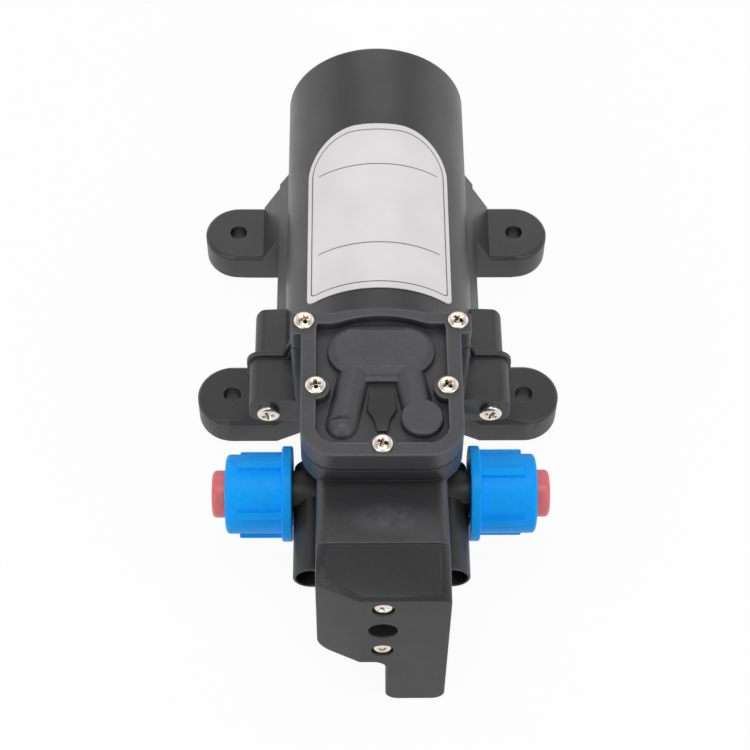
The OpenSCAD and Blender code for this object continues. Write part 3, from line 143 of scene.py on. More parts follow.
class PumpLabel(bpy.types.PropertyGroup):
    """Lines printed on the label."""

    inset_x: FloatProperty(
        name="Side inset", description="Distance of the border line from the label's sides", unit="LENGTH",
        min=0.0005, max=0.004, default=0.0011)
    inset_y: FloatProperty(
        name="End inset", description="Distance of the border line from the label's ends", unit="LENGTH",
        min=0.0005, max=0.004, default=0.0020)
    front_corner: FloatProperty(
        name="Front corner", description="Radius of the border line's front corners", unit="LENGTH",
        min=0.0002, max=0.005, default=0.0011)
    rear_corner: FloatProperty(
        name="Rear corner", description="Radius of the border line's rear corners", unit="LENGTH",
        min=0.0002, max=0.014, default=0.0115)
    line: FloatProperty(
        name="Line width", description="Width of the printed lines", unit="LENGTH",
        min=0.0001, max=0.001, default=0.00026)
    near: FloatProperty(
        name="Near divider", description="Place of the divider near the pump head", unit="LENGTH",
        default=-0.0096)
    far: FloatProperty(
        name="Far divider", description="Place of the divider near the closed end", unit="LENGTH",
        default=0.0164)
    short: FloatProperty(
        name="Divider gap", description="Distance of the dividers' ends from the border line", unit="LENGTH",
        min=0, max=0.004, default=0.0017)


class PumpStage(bpy.types.PropertyGroup):
    """Camera and light."""

    elevation: FloatProperty(
        name="Elevation", description="Height of the camera above the horizon", subtype="ANGLE",
        default=math.radians(55.99))
    turn: FloatProperty(
        name="Turn", description="Turn of the camera round the pump", subtype="ANGLE",
        default=math.radians(1.28))
    roll: FloatProperty(
        name="Roll", description="Turn of the camera about its own line of sight", subtype="ANGLE",
        default=math.radians(0.93))
    aim: FloatVectorProperty(
        name="Aim", description="Point in the middle of the picture", subtype="TRANSLATION",
        size=3, default=(-0.00095, -0.02881, 0.02))
    distance: FloatProperty(
        name="Distance", description="Distance of the camera from its target", unit="LENGTH",
        default=0.5032)
    lens: FloatProperty(
        name="Lens", description="Focal length in millimetres", default=91.87)
    key: FloatProperty(
        name="Key light", description="Power of the large light overhead", unit="POWER", default=2.3)
    rear: FloatProperty(
        name="Rear light", description="Power of the light behind the closed end", unit="POWER", default=0.8)
    fill: FloatProperty(
        name="Side lights", description="Power of the lights at the sides", unit="POWER", default=0.4)
    front: FloatProperty(
        name="Front lights", description="Power of the pair of lights in front", unit="POWER", default=1.6)
    ambient: FloatProperty(
        name="Ambient", description="Strength of the white surroundings", default=0.6)
    overhead: FloatProperty(
        name="Overhead", description="Share of the surroundings' light straight above", subtype="FACTOR",
        min=0, max=1, default=0.35)
    white: FloatProperty(
        name="White", description="Share of the floor's own glow where the camera sees it", subtype="FACTOR",
        min=0, max=1, default=0.94)


# Mesh helpers


def only(piece):
    """Makes one object the only selected one."""
    if bpy.context.object and bpy.context.object.mode != "OBJECT":
        bpy.ops.object.mode_set(mode="OBJECT")
    bpy.ops.object.select_all(action="DESELECT")
    piece.hide_viewport = False
    piece.select_set(True)
    bpy.context.view_layer.objects.active = piece
    return piece


def copy_of_node(node, name):
    """A copy of a CAD node as a free piece, its loose triangles merged and its flat faces whole."""
    only(NODES[node])
    bpy.ops.object.duplicate(linked=False)
    piece = bpy.context.object
    piece.name = name
    piece.data.name = name
    piece.parent = None
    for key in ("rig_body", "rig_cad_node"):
        if key in piece:
            del piece[key]
    piece.data.materials.clear()
    bpy.ops.object.mode_set(mode="EDIT")
    bpy.ops.mesh.select_all(action="SELECT")
    bpy.ops.mesh.remove_doubles(threshold=MERGE_DISTANCE)
    bpy.ops.mesh.dissolve_limited(angle_limit=FLAT_TURN)
    bpy.ops.object.mode_set(mode="OBJECT")
    return piece


def weigh_edges(piece, width, angle):
    """Gives bevel weight to the sharp outer edges that have room for a rounding.

    An edge has room if it is long enough or lies on a smooth run, if its faces are broad enough, and if the
    sharp edges that meet at its ends are few, well apart and all outer ones.
    """
    narrow, straight = 50, 140
    least_length, least_area = 2.5 * width, 1.1 * width ** 2
    mesh = bmesh.new()
    mesh.from_mesh(piece.data)
    weight = mesh.edges.layers.float.new("bevel_weight_edge")
    sharp = {edge for edge in mesh.edges if len(edge.link_faces) == 2 and edge.calc_face_angle() > angle}

    def sharp_at(vert):
        return [edge for edge in vert.link_edges if edge in sharp]

    def turn_at(vert, one, two):
        ways = [edge.other_vert(vert).co - vert.co for edge in (one, two)]
        return math.degrees(ways[0].angle(ways[1], 0.0))

    def tight(vert):
        met = sharp_at(vert)
        turns = [turn_at(vert, one, two) for one, two in itertools.combinations(met, 2)]
        crowded = len(met) > 3 or any(turn < narrow for turn in turns)
        branching = len(met) == 3 and any(turn > straight for turn in turns)
        return crowded or branching or not all(edge.is_convex for edge in met)

    def on_a_run(edge):
        for vert in edge.verts:
            others = [other for other in sharp_at(vert) if other is not edge]
            if len(others) != 1 or turn_at(vert, edge, others[0]) < straight:
                return False
        return True

    for edge in sharp:
        roomy = edge.calc_length() > least_length or on_a_run(edge)
        broad = min(face.calc_area() for face in edge.link_faces) > least_area
        if edge.is_convex and roomy and broad and not any(tight(vert) for vert in edge.verts):
            edge[weight] = 1.0
    mesh.to_mesh(piece.data)
    mesh.free()


def round_edges(piece, width, segments=2, angle=50):
    """Rounds the piece's sharp outer edges."""
    weigh_edges(piece, width, math.radians(angle))
    only(piece)
    bevel = piece.modifiers.new("edges", "BEVEL")
    bevel.width = width
    bevel.segments = segments
    bevel.limit_method = "WEIGHT"
    bevel.loop_slide = False
    bevel.use_clamp_overlap = False
    bpy.ops.object.modifier_apply(modifier=bevel.name)
    return piece


def smooth_faces(piece, crease=SHELL_CREASE, inner_crease=16):
    """Shades curved faces as smooth and flat ones as flat, with a crease in every inner corner."""
    only(piece)
    bpy.ops.object.shade_smooth_by_angle(angle=math.radians(crease))
    mesh = bmesh.new()
    mesh.from_mesh(piece.data)
    for edge in mesh.edges:
        inner = len(edge.link_faces) == 2 and not edge.is_convex
        if inner and edge.calc_face_angle() > math.radians(inner_crease):
            edge.smooth = False
    mesh.to_mesh(piece.data)
    mesh.free()
    normals = piece.modifiers.new("normals", "WEIGHTED_NORMAL")
    normals.keep_sharp = True
    bpy.ops.object.modifier_apply(modifier=normals.name)
    return piece


def duplicate(piece, name):
    """A copy of a piece with its own mesh."""
    only(piece)
    bpy.ops.object.duplicate(linked=False)
    made = bpy.context.object
    made.name = name
    made.data.name = name
    return made


def settle(piece):
    """Puts a piece's place into its mesh."""
    only(piece)
    bpy.ops.object.transform_apply(location=True, rotation=True, scale=True)
    return piece


def cut(piece, tool):
    """Cuts a tool out of a piece and removes the tool."""
    only(piece)
    boolean = piece.modifiers.new("cut", "BOOLEAN")
    boolean.operation = "DIFFERENCE"
    boolean.solver = "EXACT"
    boolean.object = tool
    bpy.ops.object.modifier_apply(modifier=boolean.name)
    bpy.data.objects.remove(tool)
    return piece


def pick_faces(piece, wanted):
    """Selects a piece's faces by a test and leaves it in edit mode."""
    only(piece)
    bpy.ops.object.mode_set(mode="EDIT")
    bpy.ops.mesh.select_mode(type="FACE")
    bpy.ops.mesh.select_all(action="DESELECT")
    bpy.ops.object.mode_set(mode="OBJECT")
    for face in piece.data.polygons:
        face.select = wanted(face)
    bpy.ops.object.mode_set(mode="EDIT")


def pick_points(piece, wanted):
    """Selects a piece's points by a test and leaves it in edit mode."""
    only(piece)
    bpy.ops.object.mode_set(mode="EDIT")
    bpy.ops.mesh.select_mode(type="VERT")
    bpy.ops.mesh.select_all(action="DESELECT")
    bpy.ops.object.mode_set(mode="OBJECT")
    for point in piece.data.vertices:
        point.select = wanted(point.co)
    bpy.ops.object.mode_set(mode="EDIT")


def dress(piece, material, body=None, stands_for=()):
    """Gives a piece its material, its body and the nodes that it stands for."""
    piece.data.materials.clear()
    piece.data.materials.append(material)
    if body:
        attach(piece, body)
    if stands_for:
        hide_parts(*stands_for)
    return piece


# Material helpers


def new_material(name):
    """An empty node material with its shader and output."""
    material = bpy.data.materials.new(name)
    material.use_nodes = True
    nodes = material.node_tree.nodes
    nodes.clear()
    out = nodes.new("ShaderNodeOutputMaterial")
    shader = nodes.new("ShaderNodeBsdfPrincipled")
    material.node_tree.links.new(shader.outputs["BSDF"], out.inputs["Surface"])
    return material, nodes, material.node_tree.links, shader


def object_coords(nodes):
    """Coordinates in metres in the pump's frame."""
    return nodes.new("ShaderNodeTexCoord").outputs["Object"]


def noise(nodes, links, coords, size, detail=2.0, rough=0.5):
    """Noise whose features are about size metres wide."""
    texture = nodes.new("ShaderNodeTexNoise")
    texture.inputs["Scale"].default_value = 1.0 / size
    texture.inputs["Detail"].default_value = detail
    texture.inputs["Roughness"].default_value = rough
    links.new(coords, texture.inputs["Vector"])
    return texture.outputs["Fac"]


def ramp(nodes, links, value, low, high, to_low, to_high):
    """A value mapped from one range to another."""
    mapped = nodes.new("ShaderNodeMapRange")
    mapped.inputs["From Min"].default_value = low
    mapped.inputs["From Max"].default_value = high
    mapped.inputs["To Min"].default_value = to_low
    mapped.inputs["To Max"].default_value = to_high
    links.new(value, mapped.inputs["Value"])
    return mapped.outputs["Result"]


def shade(nodes, links, factor, first, second):
    """A colour between two colours."""
    mix = nodes.new("ShaderNodeMix")
    mix.data_type = "RGBA"
    links.new(factor, mix.inputs["Factor"])
    mix.inputs["A"].default_value = (*first, 1)
    mix.inputs["B"].default_value = (*second, 1)
    return mix.outputs["Result"]


def bump(nodes, links, height, depth, normal=None):
    """Bump of a height map, depth in metres."""
    node = nodes.new("ShaderNodeBump")
    node.inputs["Strength"].default_value = 1.0
    node.inputs["Distance"].default_value = depth
    links.new(height, node.inputs["Height"])
    if normal:
        links.new(normal, node.inputs["Normal"])
    return node.outputs["Normal"]


def scaled(colour, share):
    """A colour made darker or lighter."""
    return tuple(min(1.0, c * share) for c in colour)


def math_node(nodes, links, operation, first, second=None):
    """One step of arithmetic on values or sockets."""
    node = nodes.new("ShaderNodeMath")
    node.operation = operation
    for socket, value in zip(node.inputs, (first, second)):
        if value is None:
            continue
        if isinstance(value, (int, float)):
            socket.default_value = value
        else:
            links.new(value, socket)
    return node.outputs["Value"]


def edge_normal(nodes, radius):
    """Normals that turn softly round the edges."""
    rounded = nodes.new("ShaderNodeBevel")
    rounded.samples = 4
    rounded.inputs["Radius"].default_value = radius
    return rounded.outputs["Normal"]


def tinted(nodes, links, base, share, colour):
    """A colour socket that turns to another colour by a share."""
    mix = nodes.new("ShaderNodeMix")
    mix.data_type = "RGBA"
    links.new(share, mix.inputs["Factor"])
    links.new(base, mix.inputs["A"])
    mix.inputs["B"].default_value = (*colour, 1)
    return mix.outputs["Result"]


def openness(nodes, reach, inside=False):
    """How freely light gets to a point: low in a corner, or along an outer edge when seen from inside."""
    probe = nodes.new("ShaderNodeAmbientOcclusion")
    probe.samples = 5
    probe.inside = inside
    probe.only_local = True
    probe.inputs["Distance"].default_value = reach
    return probe.outputs["AO"]


def near_point(nodes, links, coords, point, reach):
    """One at a point, falling to nothing at a reach along each axis, both in millimetres."""
    spread = nodes.new("ShaderNodeMapping")
    spread.vector_type = "TEXTURE"
    spread.inputs["Location"].default_value = Vector(point) * MM
    spread.inputs["Scale"].default_value = Vector(reach) * MM
    links.new(coords, spread.inputs["Vector"])
    length = nodes.new("ShaderNodeVectorMath")
    length.operation = "LENGTH"
    links.new(spread.outputs["Vector"], length.inputs[0])
    return ramp(nodes, links, length.outputs["Value"], 0.35, 1.0, 1, 0)


def torn_slit(nodes, links, coords, colour):
    """A short torn slit across the front end of the left channel."""
    middle, reach, depth = (-9.6, -68.7, 61.4), (3.3, 0.62, 1.6), 0.5 * MM
    line = near_point(nodes, links, coords, middle, reach)
    torn = ramp(nodes, links, noise(nodes, links, coords, 0.9 * MM, 2.0), 0.34, 0.52, 0.45, 1.0)
    return math_node(nodes, links, "MULTIPLY", line, torn), scaled(colour, 0.02), depth


def painted_pocket_shade(nodes, links, coords, colour):
    """Painted shade: the pocket between the channels is made darker, as shade falls between the raised
    parts.
    """
    middle, reach = (0, -65, 60), (8.0, 11.0, 2.2)
    return near_point(nodes, links, coords, middle, reach), scaled(colour, 0.12), 0


def smudge_and_painted_highlight(nodes, links, coords, colour):
    """A pale patch on top of the port block: partly a smudge, partly a painted highlight where light falls
    on the block.
    """
    middle, reach = (1.5, -91.0, 51.5), (11.0, 5.5, 5.0)
    patch = near_point(nodes, links, coords, middle, reach)
    smudge_noise = ramp(nodes, links, noise(nodes, links, coords, 2.6 * MM, 5.0, 0.6), 0.30, 0.72, 0.1, 0.9)
    return math_node(nodes, links, "MULTIPLY", patch, smudge_noise), scaled(colour, 3.2), 0


def moulded_plastic(name, colour, grain, depth=0.00004, rough=(0.38, 0.50), tint=0.16, specular=0.5,
                    edge=0.0, painted_light_and_shade=False, marks=()):
    """Moulded plastic: fine grain, cloudy gloss, a slight random change of tone, soft edges and marks, some
    of them painted shade and light.

    With painted light and shade it gets painted shade in its corners and painted highlights along its outer
    edges. Each mark gives its share, its colour and its depth.
    """
    corner_reach, painted_corner_shade = edge * 9, 0.25
    outer_reach, painted_edge_highlight = edge * 2, 2.2
    material, nodes, links, shader = new_material(name)
    coords = object_coords(nodes)
    fine = noise(nodes, links, coords, grain, 3.0, 0.6)
    cloud = noise(nodes, links, coords, grain * 45, 3.0)
    mottle = ramp(nodes, links, noise(nodes, links, coords, grain * 2.0, 4.0, 0.7), 0.32, 0.68, 0, 0.8)
    specks = ramp(nodes, links, noise(nodes, links, coords, grain * 2.2, 2.0), 0.62, 0.78, 0, 0.6)
    blend = math_node(nodes, links, "ADD", math_node(nodes, links, "MULTIPLY", mottle, 0.6),
                      ramp(nodes, links, cloud, 0.3, 0.7, 0, 0.4))
    tone = math_node(nodes, links, "MAXIMUM", blend, specks)
    base = shade(nodes, links, tone, scaled(colour, 1 - 2 * tint), scaled(colour, 1 + 2.4 * tint))
    soft = edge_normal(nodes, edge) if edge else None
    # Painted shade darkens the corners, where little light gets in, and painted highlights make the outer
    # edges paler.
    if painted_light_and_shade:
        corner = ramp(nodes, links, openness(nodes, corner_reach), 0.35, 0.95, 1, 0)
        base = tinted(nodes, links, base, corner, scaled(colour, painted_corner_shade))
        outer = ramp(nodes, links, openness(nodes, outer_reach, inside=True), 0.55, 0.92, 1, 0)
        base = tinted(nodes, links, base, outer, scaled(colour, painted_edge_highlight))
    # A mark's colour can be painted shade or a painted highlight as well as a real mark.
    for mark in marks:
        share, mark_colour, dent = mark(nodes, links, coords, colour)
        base = tinted(nodes, links, base, share, mark_colour)
        if dent:
            soft = bump(nodes, links, math_node(nodes, links, "SUBTRACT", 1.0, share), dent, soft)
    links.new(base, shader.inputs["Base Color"])
    links.new(ramp(nodes, links, blend, 0.1, 0.8, rough[1], rough[0]), shader.inputs["Roughness"])
    links.new(bump(nodes, links, fine, depth, soft), shader.inputs["Normal"])
    shader.inputs["Specular IOR Level"].default_value = specular
    return material


def plated_metal(name, colour, rough=(0.16, 0.32), scratch=0.0004, depth=0.000006, painted_recess_shade=None):
    """Plated or turned metal with fine scratches, and painted shade in a given colour where little light
    gets in.
    """
    material, nodes, links, shader = new_material(name)
    coords = object_coords(nodes)
    fine = noise(nodes, links, coords, scratch, 4.0, 0.65)
    cloud = noise(nodes, links, coords, scratch * 8, 2.0)
    bare = shade(nodes, links, cloud, scaled(colour, 0.86), scaled(colour, 1.08))
    # Painted shade: the given colour tints the metal where little light gets in.
    if painted_recess_shade:
        recess_shade_share = ramp(nodes, links, openness(nodes, 1.2 * MM), 0.45, 0.85, 1, 0)
        bare = tinted(nodes, links, bare, recess_shade_share, painted_recess_shade)
    links.new(bare, shader.inputs["Base Color"])
    links.new(ramp(nodes, links, fine, 0.3, 0.7, *rough), shader.inputs["Roughness"])
    links.new(bump(nodes, links, fine, depth), shader.inputs["Normal"])
    shader.inputs["Metallic"].default_value = 1.0
    return material


def soft_red(name, colour):
    """Soft red vinyl that lets some light in."""
    material, nodes, links, shader = new_material(name)
    coords = object_coords(nodes)
    cloud = noise(nodes, links, coords, 0.004, 3.0)
    fine = noise(nodes, links, coords, 0.0005, 2.0)
    base = shade(nodes, links, cloud, scaled(colour, 0.72), scaled(colour, 1.15))
    links.new(base, shader.inputs["Base Color"])
    links.new(ramp(nodes, links, cloud, 0.3, 0.7, 0.30, 0.46), shader.inputs["Roughness"])
    links.new(bump(nodes, links, fine, 0.00002), shader.inputs["Normal"])
    shader.inputs["Subsurface Weight"].default_value = 0.35
    shader.inputs["Subsurface Radius"].default_value = (1.0, 0.25, 0.2)
    shader.inputs["Subsurface Scale"].default_value = 0.0012
    return material


def label_film(name, colour, line, sizes, low, high):
    """Silver film with a border line and two dividers, and nothing written on it."""
    material, nodes, links, shader = new_material(name)
    coords = object_coords(nodes)
    parts = nodes.new("ShaderNodeSeparateXYZ")
    links.new(coords, parts.inputs["Vector"])
    half_x = (high.x - low.x) / 2 - sizes.inset_x
    half_y = (high.y - low.y) / 2 - sizes.inset_y
    mid_y = (low.y + high.y) / 2

    def step(*values):
        return math_node(nodes, links, *values)

    across = step("ABSOLUTE", parts.outputs["X"])
    offset = step("SUBTRACT", parts.outputs["Y"], mid_y)
    to_rear = step("GREATER_THAN", offset, 0.0)
    corner = ramp(nodes, links, to_rear, 0, 1, sizes.front_corner, sizes.rear_corner)
    out_x = step("ADD", step("SUBTRACT", across, half_x), corner)
    out_y = step("ADD", step("SUBTRACT", step("ABSOLUTE", offset), half_y), corner)
    past_x = step("MAXIMUM", out_x, 0.0)
    past_y = step("MAXIMUM", out_y, 0.0)
    reach = step("SQRT", step("ADD", step("MULTIPLY", past_x, past_x), step("MULTIPLY", past_y, past_y)))
    inside = step("MINIMUM", step("MAXIMUM", out_x, out_y), 0.0)
    border = step("ABSOLUTE", step("SUBTRACT", step("ADD", reach, inside), corner))
    near = step("ABSOLUTE", step("SUBTRACT", parts.outputs["Y"], sizes.near))
    far = step("ABSOLUTE", step("SUBTRACT", parts.outputs["Y"], sizes.far))
    ended = step("GREATER_THAN", across, half_x - sizes.short)
    dividers = step("ADD", step("MINIMUM", near, far), ended)
    nearest = step("MINIMUM", border, dividers)
    ink = ramp(nodes, links, nearest, sizes.line * 0.35, sizes.line * 0.75, 1.0, 0.0)
    sheen = noise(nodes, links, coords, 0.012, 2.0)
    gloss = ramp(nodes, links, sheen, 0.3, 0.7, 0, 1)
    film = shade(nodes, links, gloss, scaled(colour, 0.96), scaled(colour, 1.04))
    links.new(tinted(nodes, links, film, ink, line), shader.inputs["Base Color"])
    links.new(ramp(nodes, links, sheen, 0.3, 0.7, 0.34, 0.44), shader.inputs["Roughness"])
    ripple = noise(nodes, links, coords, 0.0009, 2.0)
    links.new(bump(nodes, links, ripple, 0.00001), shader.inputs["Normal"])
    return material


def wound_copper(name, colour):
    """Enamelled copper wire, seen as fine turns."""
    material, nodes, links, shader = new_material(name)
    coords = object_coords(nodes)
    wave = nodes.new("ShaderNodeTexWave")
    wave.bands_direction = "DIAGONAL"
    wave.inputs["Scale"].default_value = 700
    wave.inputs["Distortion"].default_value = 2.0
    links.new(coords, wave.inputs["Vector"])
    turns = wave.outputs["Fac"]
    links.new(shade(nodes, links, turns, scaled(colour, 0.45), colour), shader.inputs["Base Color"])
    links.new(ramp(nodes, links, turns, 0, 1, 0.45, 0.28), shader.inputs["Roughness"])
    links.new(bump(nodes, links, turns, 0.00015), shader.inputs["Normal"])
    shader.inputs["Metallic"].default_value = 0.85
    return material


# Piece helpers


def level_boss(head):
    """Brings the end of the right channel down to the flat top of its round boss."""
    centre, radius, top = Vector((9.4, -68.4)) * MM, 5.05 * MM, 61.6 * MM
    pick_points(head, lambda co: (co.xy - centre).length < radius and co.z > top)
    bpy.ops.transform.resize(value=(1, 1, 0), center_override=(*centre, top))
    bpy.ops.object.mode_set(mode="OBJECT")


def cut_cross(screw, head_d, head_h, sizes):
    """Cuts a cross recess that narrows downwards into a screw's head.

    The second blade stands a little higher, so that no two faces of the blades lie in one plane.
    """
    depth = head_d * sizes.recess_depth
    over, step, narrow = head_h * 0.05, depth * 0.02, 0.55
    for quarter in range(2):
        bpy.ops.object.select_all(action="DESELECT")
        bpy.ops.mesh.primitive_cube_add(size=1)
        blade = bpy.context.object
        blade.location = (0, 0, head_h + step * quarter + (over - depth) / 2)
        blade.scale = (head_d * sizes.recess_len, head_d * sizes.recess_width, depth + over)
        blade.rotation_euler = (0, 0, math.pi / 2 * quarter)
        settle(blade)
        pick_faces(blade, lambda face: face.normal.z < -0.9)
        bpy.ops.transform.resize(value=(narrow, narrow, 1), center_override=(0, 0, 0))
        bpy.ops.object.mode_set(mode="OBJECT")
        cut(screw, blade)


def cross_screw(name, head_d, head_h, shank_d, shank_len, sizes):
    """A pan head screw with a cross recess, standing on the origin with its shank below."""
    wall, rise, rings = head_h * 0.55, head_h * 0.45, 6
    lip, crease = head_d * 0.012, math.radians(40)
    bpy.ops.object.select_all(action="DESELECT")
    bpy.ops.mesh.primitive_cylinder_add(vertices=sizes.facets, radius=head_d / 2, depth=wall,
                                        location=(0, 0, wall / 2))
    screw = bpy.context.object
    screw.name = name
    pick_faces(screw, lambda face: face.normal.z > 0.9)
    radius, height = head_d / 2, 0.0
    for i in range(1, rings + 1):
        turn = math.pi / 2 * i / (rings + 1)
        next_radius = head_d / 2 * math.cos(turn)
        next_height = rise * math.sin(turn)
        bpy.ops.mesh.inset(thickness=radius - next_radius, depth=0)
        bpy.ops.transform.translate(value=(0, 0, next_height - height))
        radius, height = next_radius, next_height
    pick_faces(screw, lambda face: face.normal.z < -0.9)
    bpy.ops.mesh.inset(thickness=(head_d - shank_d) / 2, depth=0)
    bpy.ops.mesh.extrude_region_move(TRANSFORM_OT_translate={"value": (0, 0, -shank_len)})
    bpy.ops.object.mode_set(mode="OBJECT")
    settle(screw)
    cut_cross(screw, head_d, head_h, sizes)
    only(screw)
    bevel = screw.modifiers.new("lip", "BEVEL")
    bevel.width = lip
    bevel.segments = 2
    bevel.limit_method = "ANGLE"
    bevel.angle_limit = crease
    bpy.ops.object.modifier_apply(modifier=bevel.name)
    bpy.ops.object.shade_smooth_by_angle(angle=crease)
    return screw


# Stage helpers


def area_light(name, place, target, size, power):
    """A soft square light that looks at a point."""
    data = bpy.data.lights.new(name, "AREA")
    data.size = size
    data.energy = power
    lamp = bpy.data.objects.new(name, data)
    bpy.context.scene.collection.objects.link(lamp)
    lamp.location = place
    lamp.rotation_euler = (Vector(target) - Vector(place)).to_track_quat("-Z", "Y").to_euler()
    return lamp


def sees_white(nodes, links):
    """One for the rays that should meet white: from the camera, or by way of a mirror or glass."""
    path = nodes.new("ShaderNodeLightPath").outputs
    straight = math_node(nodes, links, "MAXIMUM", path["Is Camera Ray"], path["Is Glossy Ray"])
    return math_node(nodes, links, "MAXIMUM", straight, path["Is Transmission Ray"])


def pale_floor(white):
    """A wide matt floor just below the feet, with its own glow where white should be seen."""
    size, gap, grey = 6, 0.0002, 0.85
    bpy.ops.object.select_all(action="DESELECT")
    bpy.ops.mesh.primitive_plane_add(size=size, location=(0, 0, -gap))
    floor = bpy.context.object
    floor.name = "floor"
    material = bpy.data.materials.new("pale_floor")
    material.use_nodes = True
    nodes, links = material.node_tree.nodes, material.node_tree.links
    nodes.clear()
    out = nodes.new("ShaderNodeOutputMaterial")
    matt = nodes.new("ShaderNodeBsdfDiffuse")
    matt.inputs["Color"].default_value = (grey, grey, grey, 1)
    glow = nodes.new("ShaderNodeEmission")
    glow.inputs["Strength"].default_value = 1.0
    seen = math_node(nodes, links, "MULTIPLY", sees_white(nodes, links), white)
    mix = nodes.new("ShaderNodeMixShader")
    links.new(seen, mix.inputs["Fac"])
    links.new(matt.outputs["BSDF"], mix.inputs[1])
    links.new(glow.outputs["Emission"], mix.inputs[2])
    links.new(mix.outputs["Shader"], out.inputs["Surface"])
    floor.data.materials.append(material)
    return floor


def white_tent(ambient, overhead):
    """White surroundings that give less light from straight above."""
    side, top = math.sin(math.radians(46)), math.sin(math.radians(66))
    world = bpy.data.worlds.new("white_tent")
    world.use_nodes = True
    nodes, links = world.node_tree.nodes, world.node_tree.links
    nodes.clear()
    out = nodes.new("ShaderNodeOutputWorld")
    back = nodes.new("ShaderNodeBackground")
    parts = nodes.new("ShaderNodeSeparateXYZ")
    links.new(nodes.new("ShaderNodeTexCoord").outputs["Generated"], parts.inputs["Vector"])
    dome = ramp(nodes, links, parts.outputs["Z"], side, top, 1.0, overhead)
    level = ramp(nodes, links, sees_white(nodes, links), 0, 1, ambient, 1.0)
    links.new(math_node(nodes, links, "MULTIPLY", dome, level), back.inputs["Strength"])
    links.new(back.outputs["Background"], out.inputs["Surface"])
    return world


def hang_lamps(stage):
    """Hangs the key light overhead, one behind the closed end, and pairs at the sides and in front."""
    target = (0, -0.03, 0.03)
    area_light("key", (0, -0.12, 0.85), target, 0.4, stage.key)
    area_light("rear", (0, 0.58, 0.55), target, 0.5, stage.rear)
    area_light("left", (-0.62, 0.36, 0.24), target, 0.45, stage.fill)
    area_light("right", (0.62, 0.36, 0.24), target, 0.45, stage.fill)
    area_light("front_left", (-0.50, -0.55, 0.45), target, 0.4, stage.front)
    area_light("front_right", (0.50, -0.55, 0.45), target, 0.4, stage.front)


def photo_camera(stage):
    """The camera, at its distance from the aim and turned about its own line of sight."""
    data = bpy.data.cameras.new("camera")
    data.lens = stage.lens
    data.sensor_width = 36
    data.clip_start = 0.01
    camera = bpy.data.objects.new("camera", data)
    bpy.context.scene.collection.objects.link(camera)
    back = Vector((-math.sin(stage.turn) * math.cos(stage.elevation),
                   -math.cos(stage.turn) * math.cos(stage.elevation), math.sin(stage.elevation)))
    camera.location = Vector(stage.aim) + back * stage.distance
    level = (-back).to_track_quat("-Z", "Y")
    camera.rotation_euler = (level @ Quaternion((0, 0, 1), stage.roll)).to_euler()
    return camera


# Operators


class PUMP_OT_shells(bpy.types.Operator):
    """Dresses the black mouldings: motor cover, pump body, head cover and switch cover."""

    bl_idname = "pump.shells"
    bl_label = "Shells"

    def execute(self, context):
        finish = context.scene.pump_finish
        colour = tuple(finish.shell)
        # Each moulding gets the shell colour made lighter or darker to stand for how brightly it is lit:
        # painted light and shade, with the head cover's copy much paler than the rest.
        painted_light_tones = {"motor_cover": 0.78, "pump_body": 0.95, "head_cover": 1.85, "switch_cover": 0.80}
        looks = {
            "motor_cover": {"rough": (0.32, 0.42), "specular": 0.6},
            # The port block's pale patch is partly a smudge and partly a painted highlight.
            "pump_body": {"rough": (0.36, 0.48), "marks": (smudge_and_painted_highlight,)},
            # The head cover's marks are painted shade in the pocket between the channels, and a torn slit.
            "head_cover": {"marks": (painted_pocket_shade, torn_slit)},
            "switch_cover": {"rough": (0.36, 0.44), "specular": 0.28},
        }
        for node, tone in painted_light_tones.items():
            piece = copy_of_node(node, node + "_moulding")
            crease = SHELL_CREASE
            if node == "head_cover":
                level_boss(piece)
                crease = HEAD_CREASE
            smooth_faces(round_edges(piece, finish.edge, segments=3), crease)
            # Each moulding's material paints shade into its corners and highlights along its outer edges.
            grain = moulded_plastic(node + "_grain", scaled(colour, tone), finish.grain,
                                    edge=finish.edge, painted_light_and_shade=True, **looks[node])
            dress(piece, grain, "pump", [node])
        return {"FINISHED"}


class PUMP_OT_screws(bpy.types.Operator):
    """Models the nickel screws with their cross recesses and seats one in each hole."""

    bl_idname = "pump.screws"
    bl_label = "Screws"

    def execute(self, context):
        sizes = context.scene.pump_screw
        # The screws get a warm brown painted shade in their cross recesses, where little light gets in.
        colour, painted_recess_shade = tuple(context.scene.pump_finish.nickel), (0.42, 0.28, 0.17)
        nickel = plated_metal("nickel_plate", colour, painted_recess_shade=painted_recess_shade)
        upright, level = 0, math.pi / 2
        groups = {
            "head_screws": {"head": 4.9, "shank": 2.5, "length": 12.9, "tilt": upright, "seats": [
                ((-18.55, -41.8, 62.0), 20), ((18.55, -41.8, 62.0), 52), ((-15.6, -60.5, 62.0), 8),
                ((15.6, -60.5, 62.0), 33), ((0, -76.7, 62.0), 70)]},
            "body_screws": {"head": 5.7, "shank": 3.0, "length": 25.5, "tilt": level, "seats": [
                ((-28.3, -45.0, 27.5), 15), ((28.3, -45.0, 27.5), 60)]},
            "switch_screws": {"head": 4.6, "shank": 2.2, "length": 20.0, "tilt": level, "seats": [
                ((0, -110.3, 47.7), 25), ((0, -110.3, 27.1), 50)]},
        }
        for node, group in groups.items():
            model = cross_screw(node + "_model", group["head"] * MM, SCREW_HEAD_HEIGHT, group["shank"] * MM,
                                group["length"] * MM, sizes)
            tilt = Matrix.Rotation(group["tilt"], 4, "X")
            for i, (place, spin) in enumerate(group["seats"], 1):
                piece = duplicate(model, "%s_%d" % (node[:-1], i))
                turn = tilt @ Matrix.Rotation(math.radians(spin), 4, "Z")
                piece.matrix_world = Matrix.Translation(Vector(place) * MM) @ turn
                dress(settle(piece), nickel, "pump", [node])
            bpy.data.objects.remove(model)
        return {"FINISHED"}


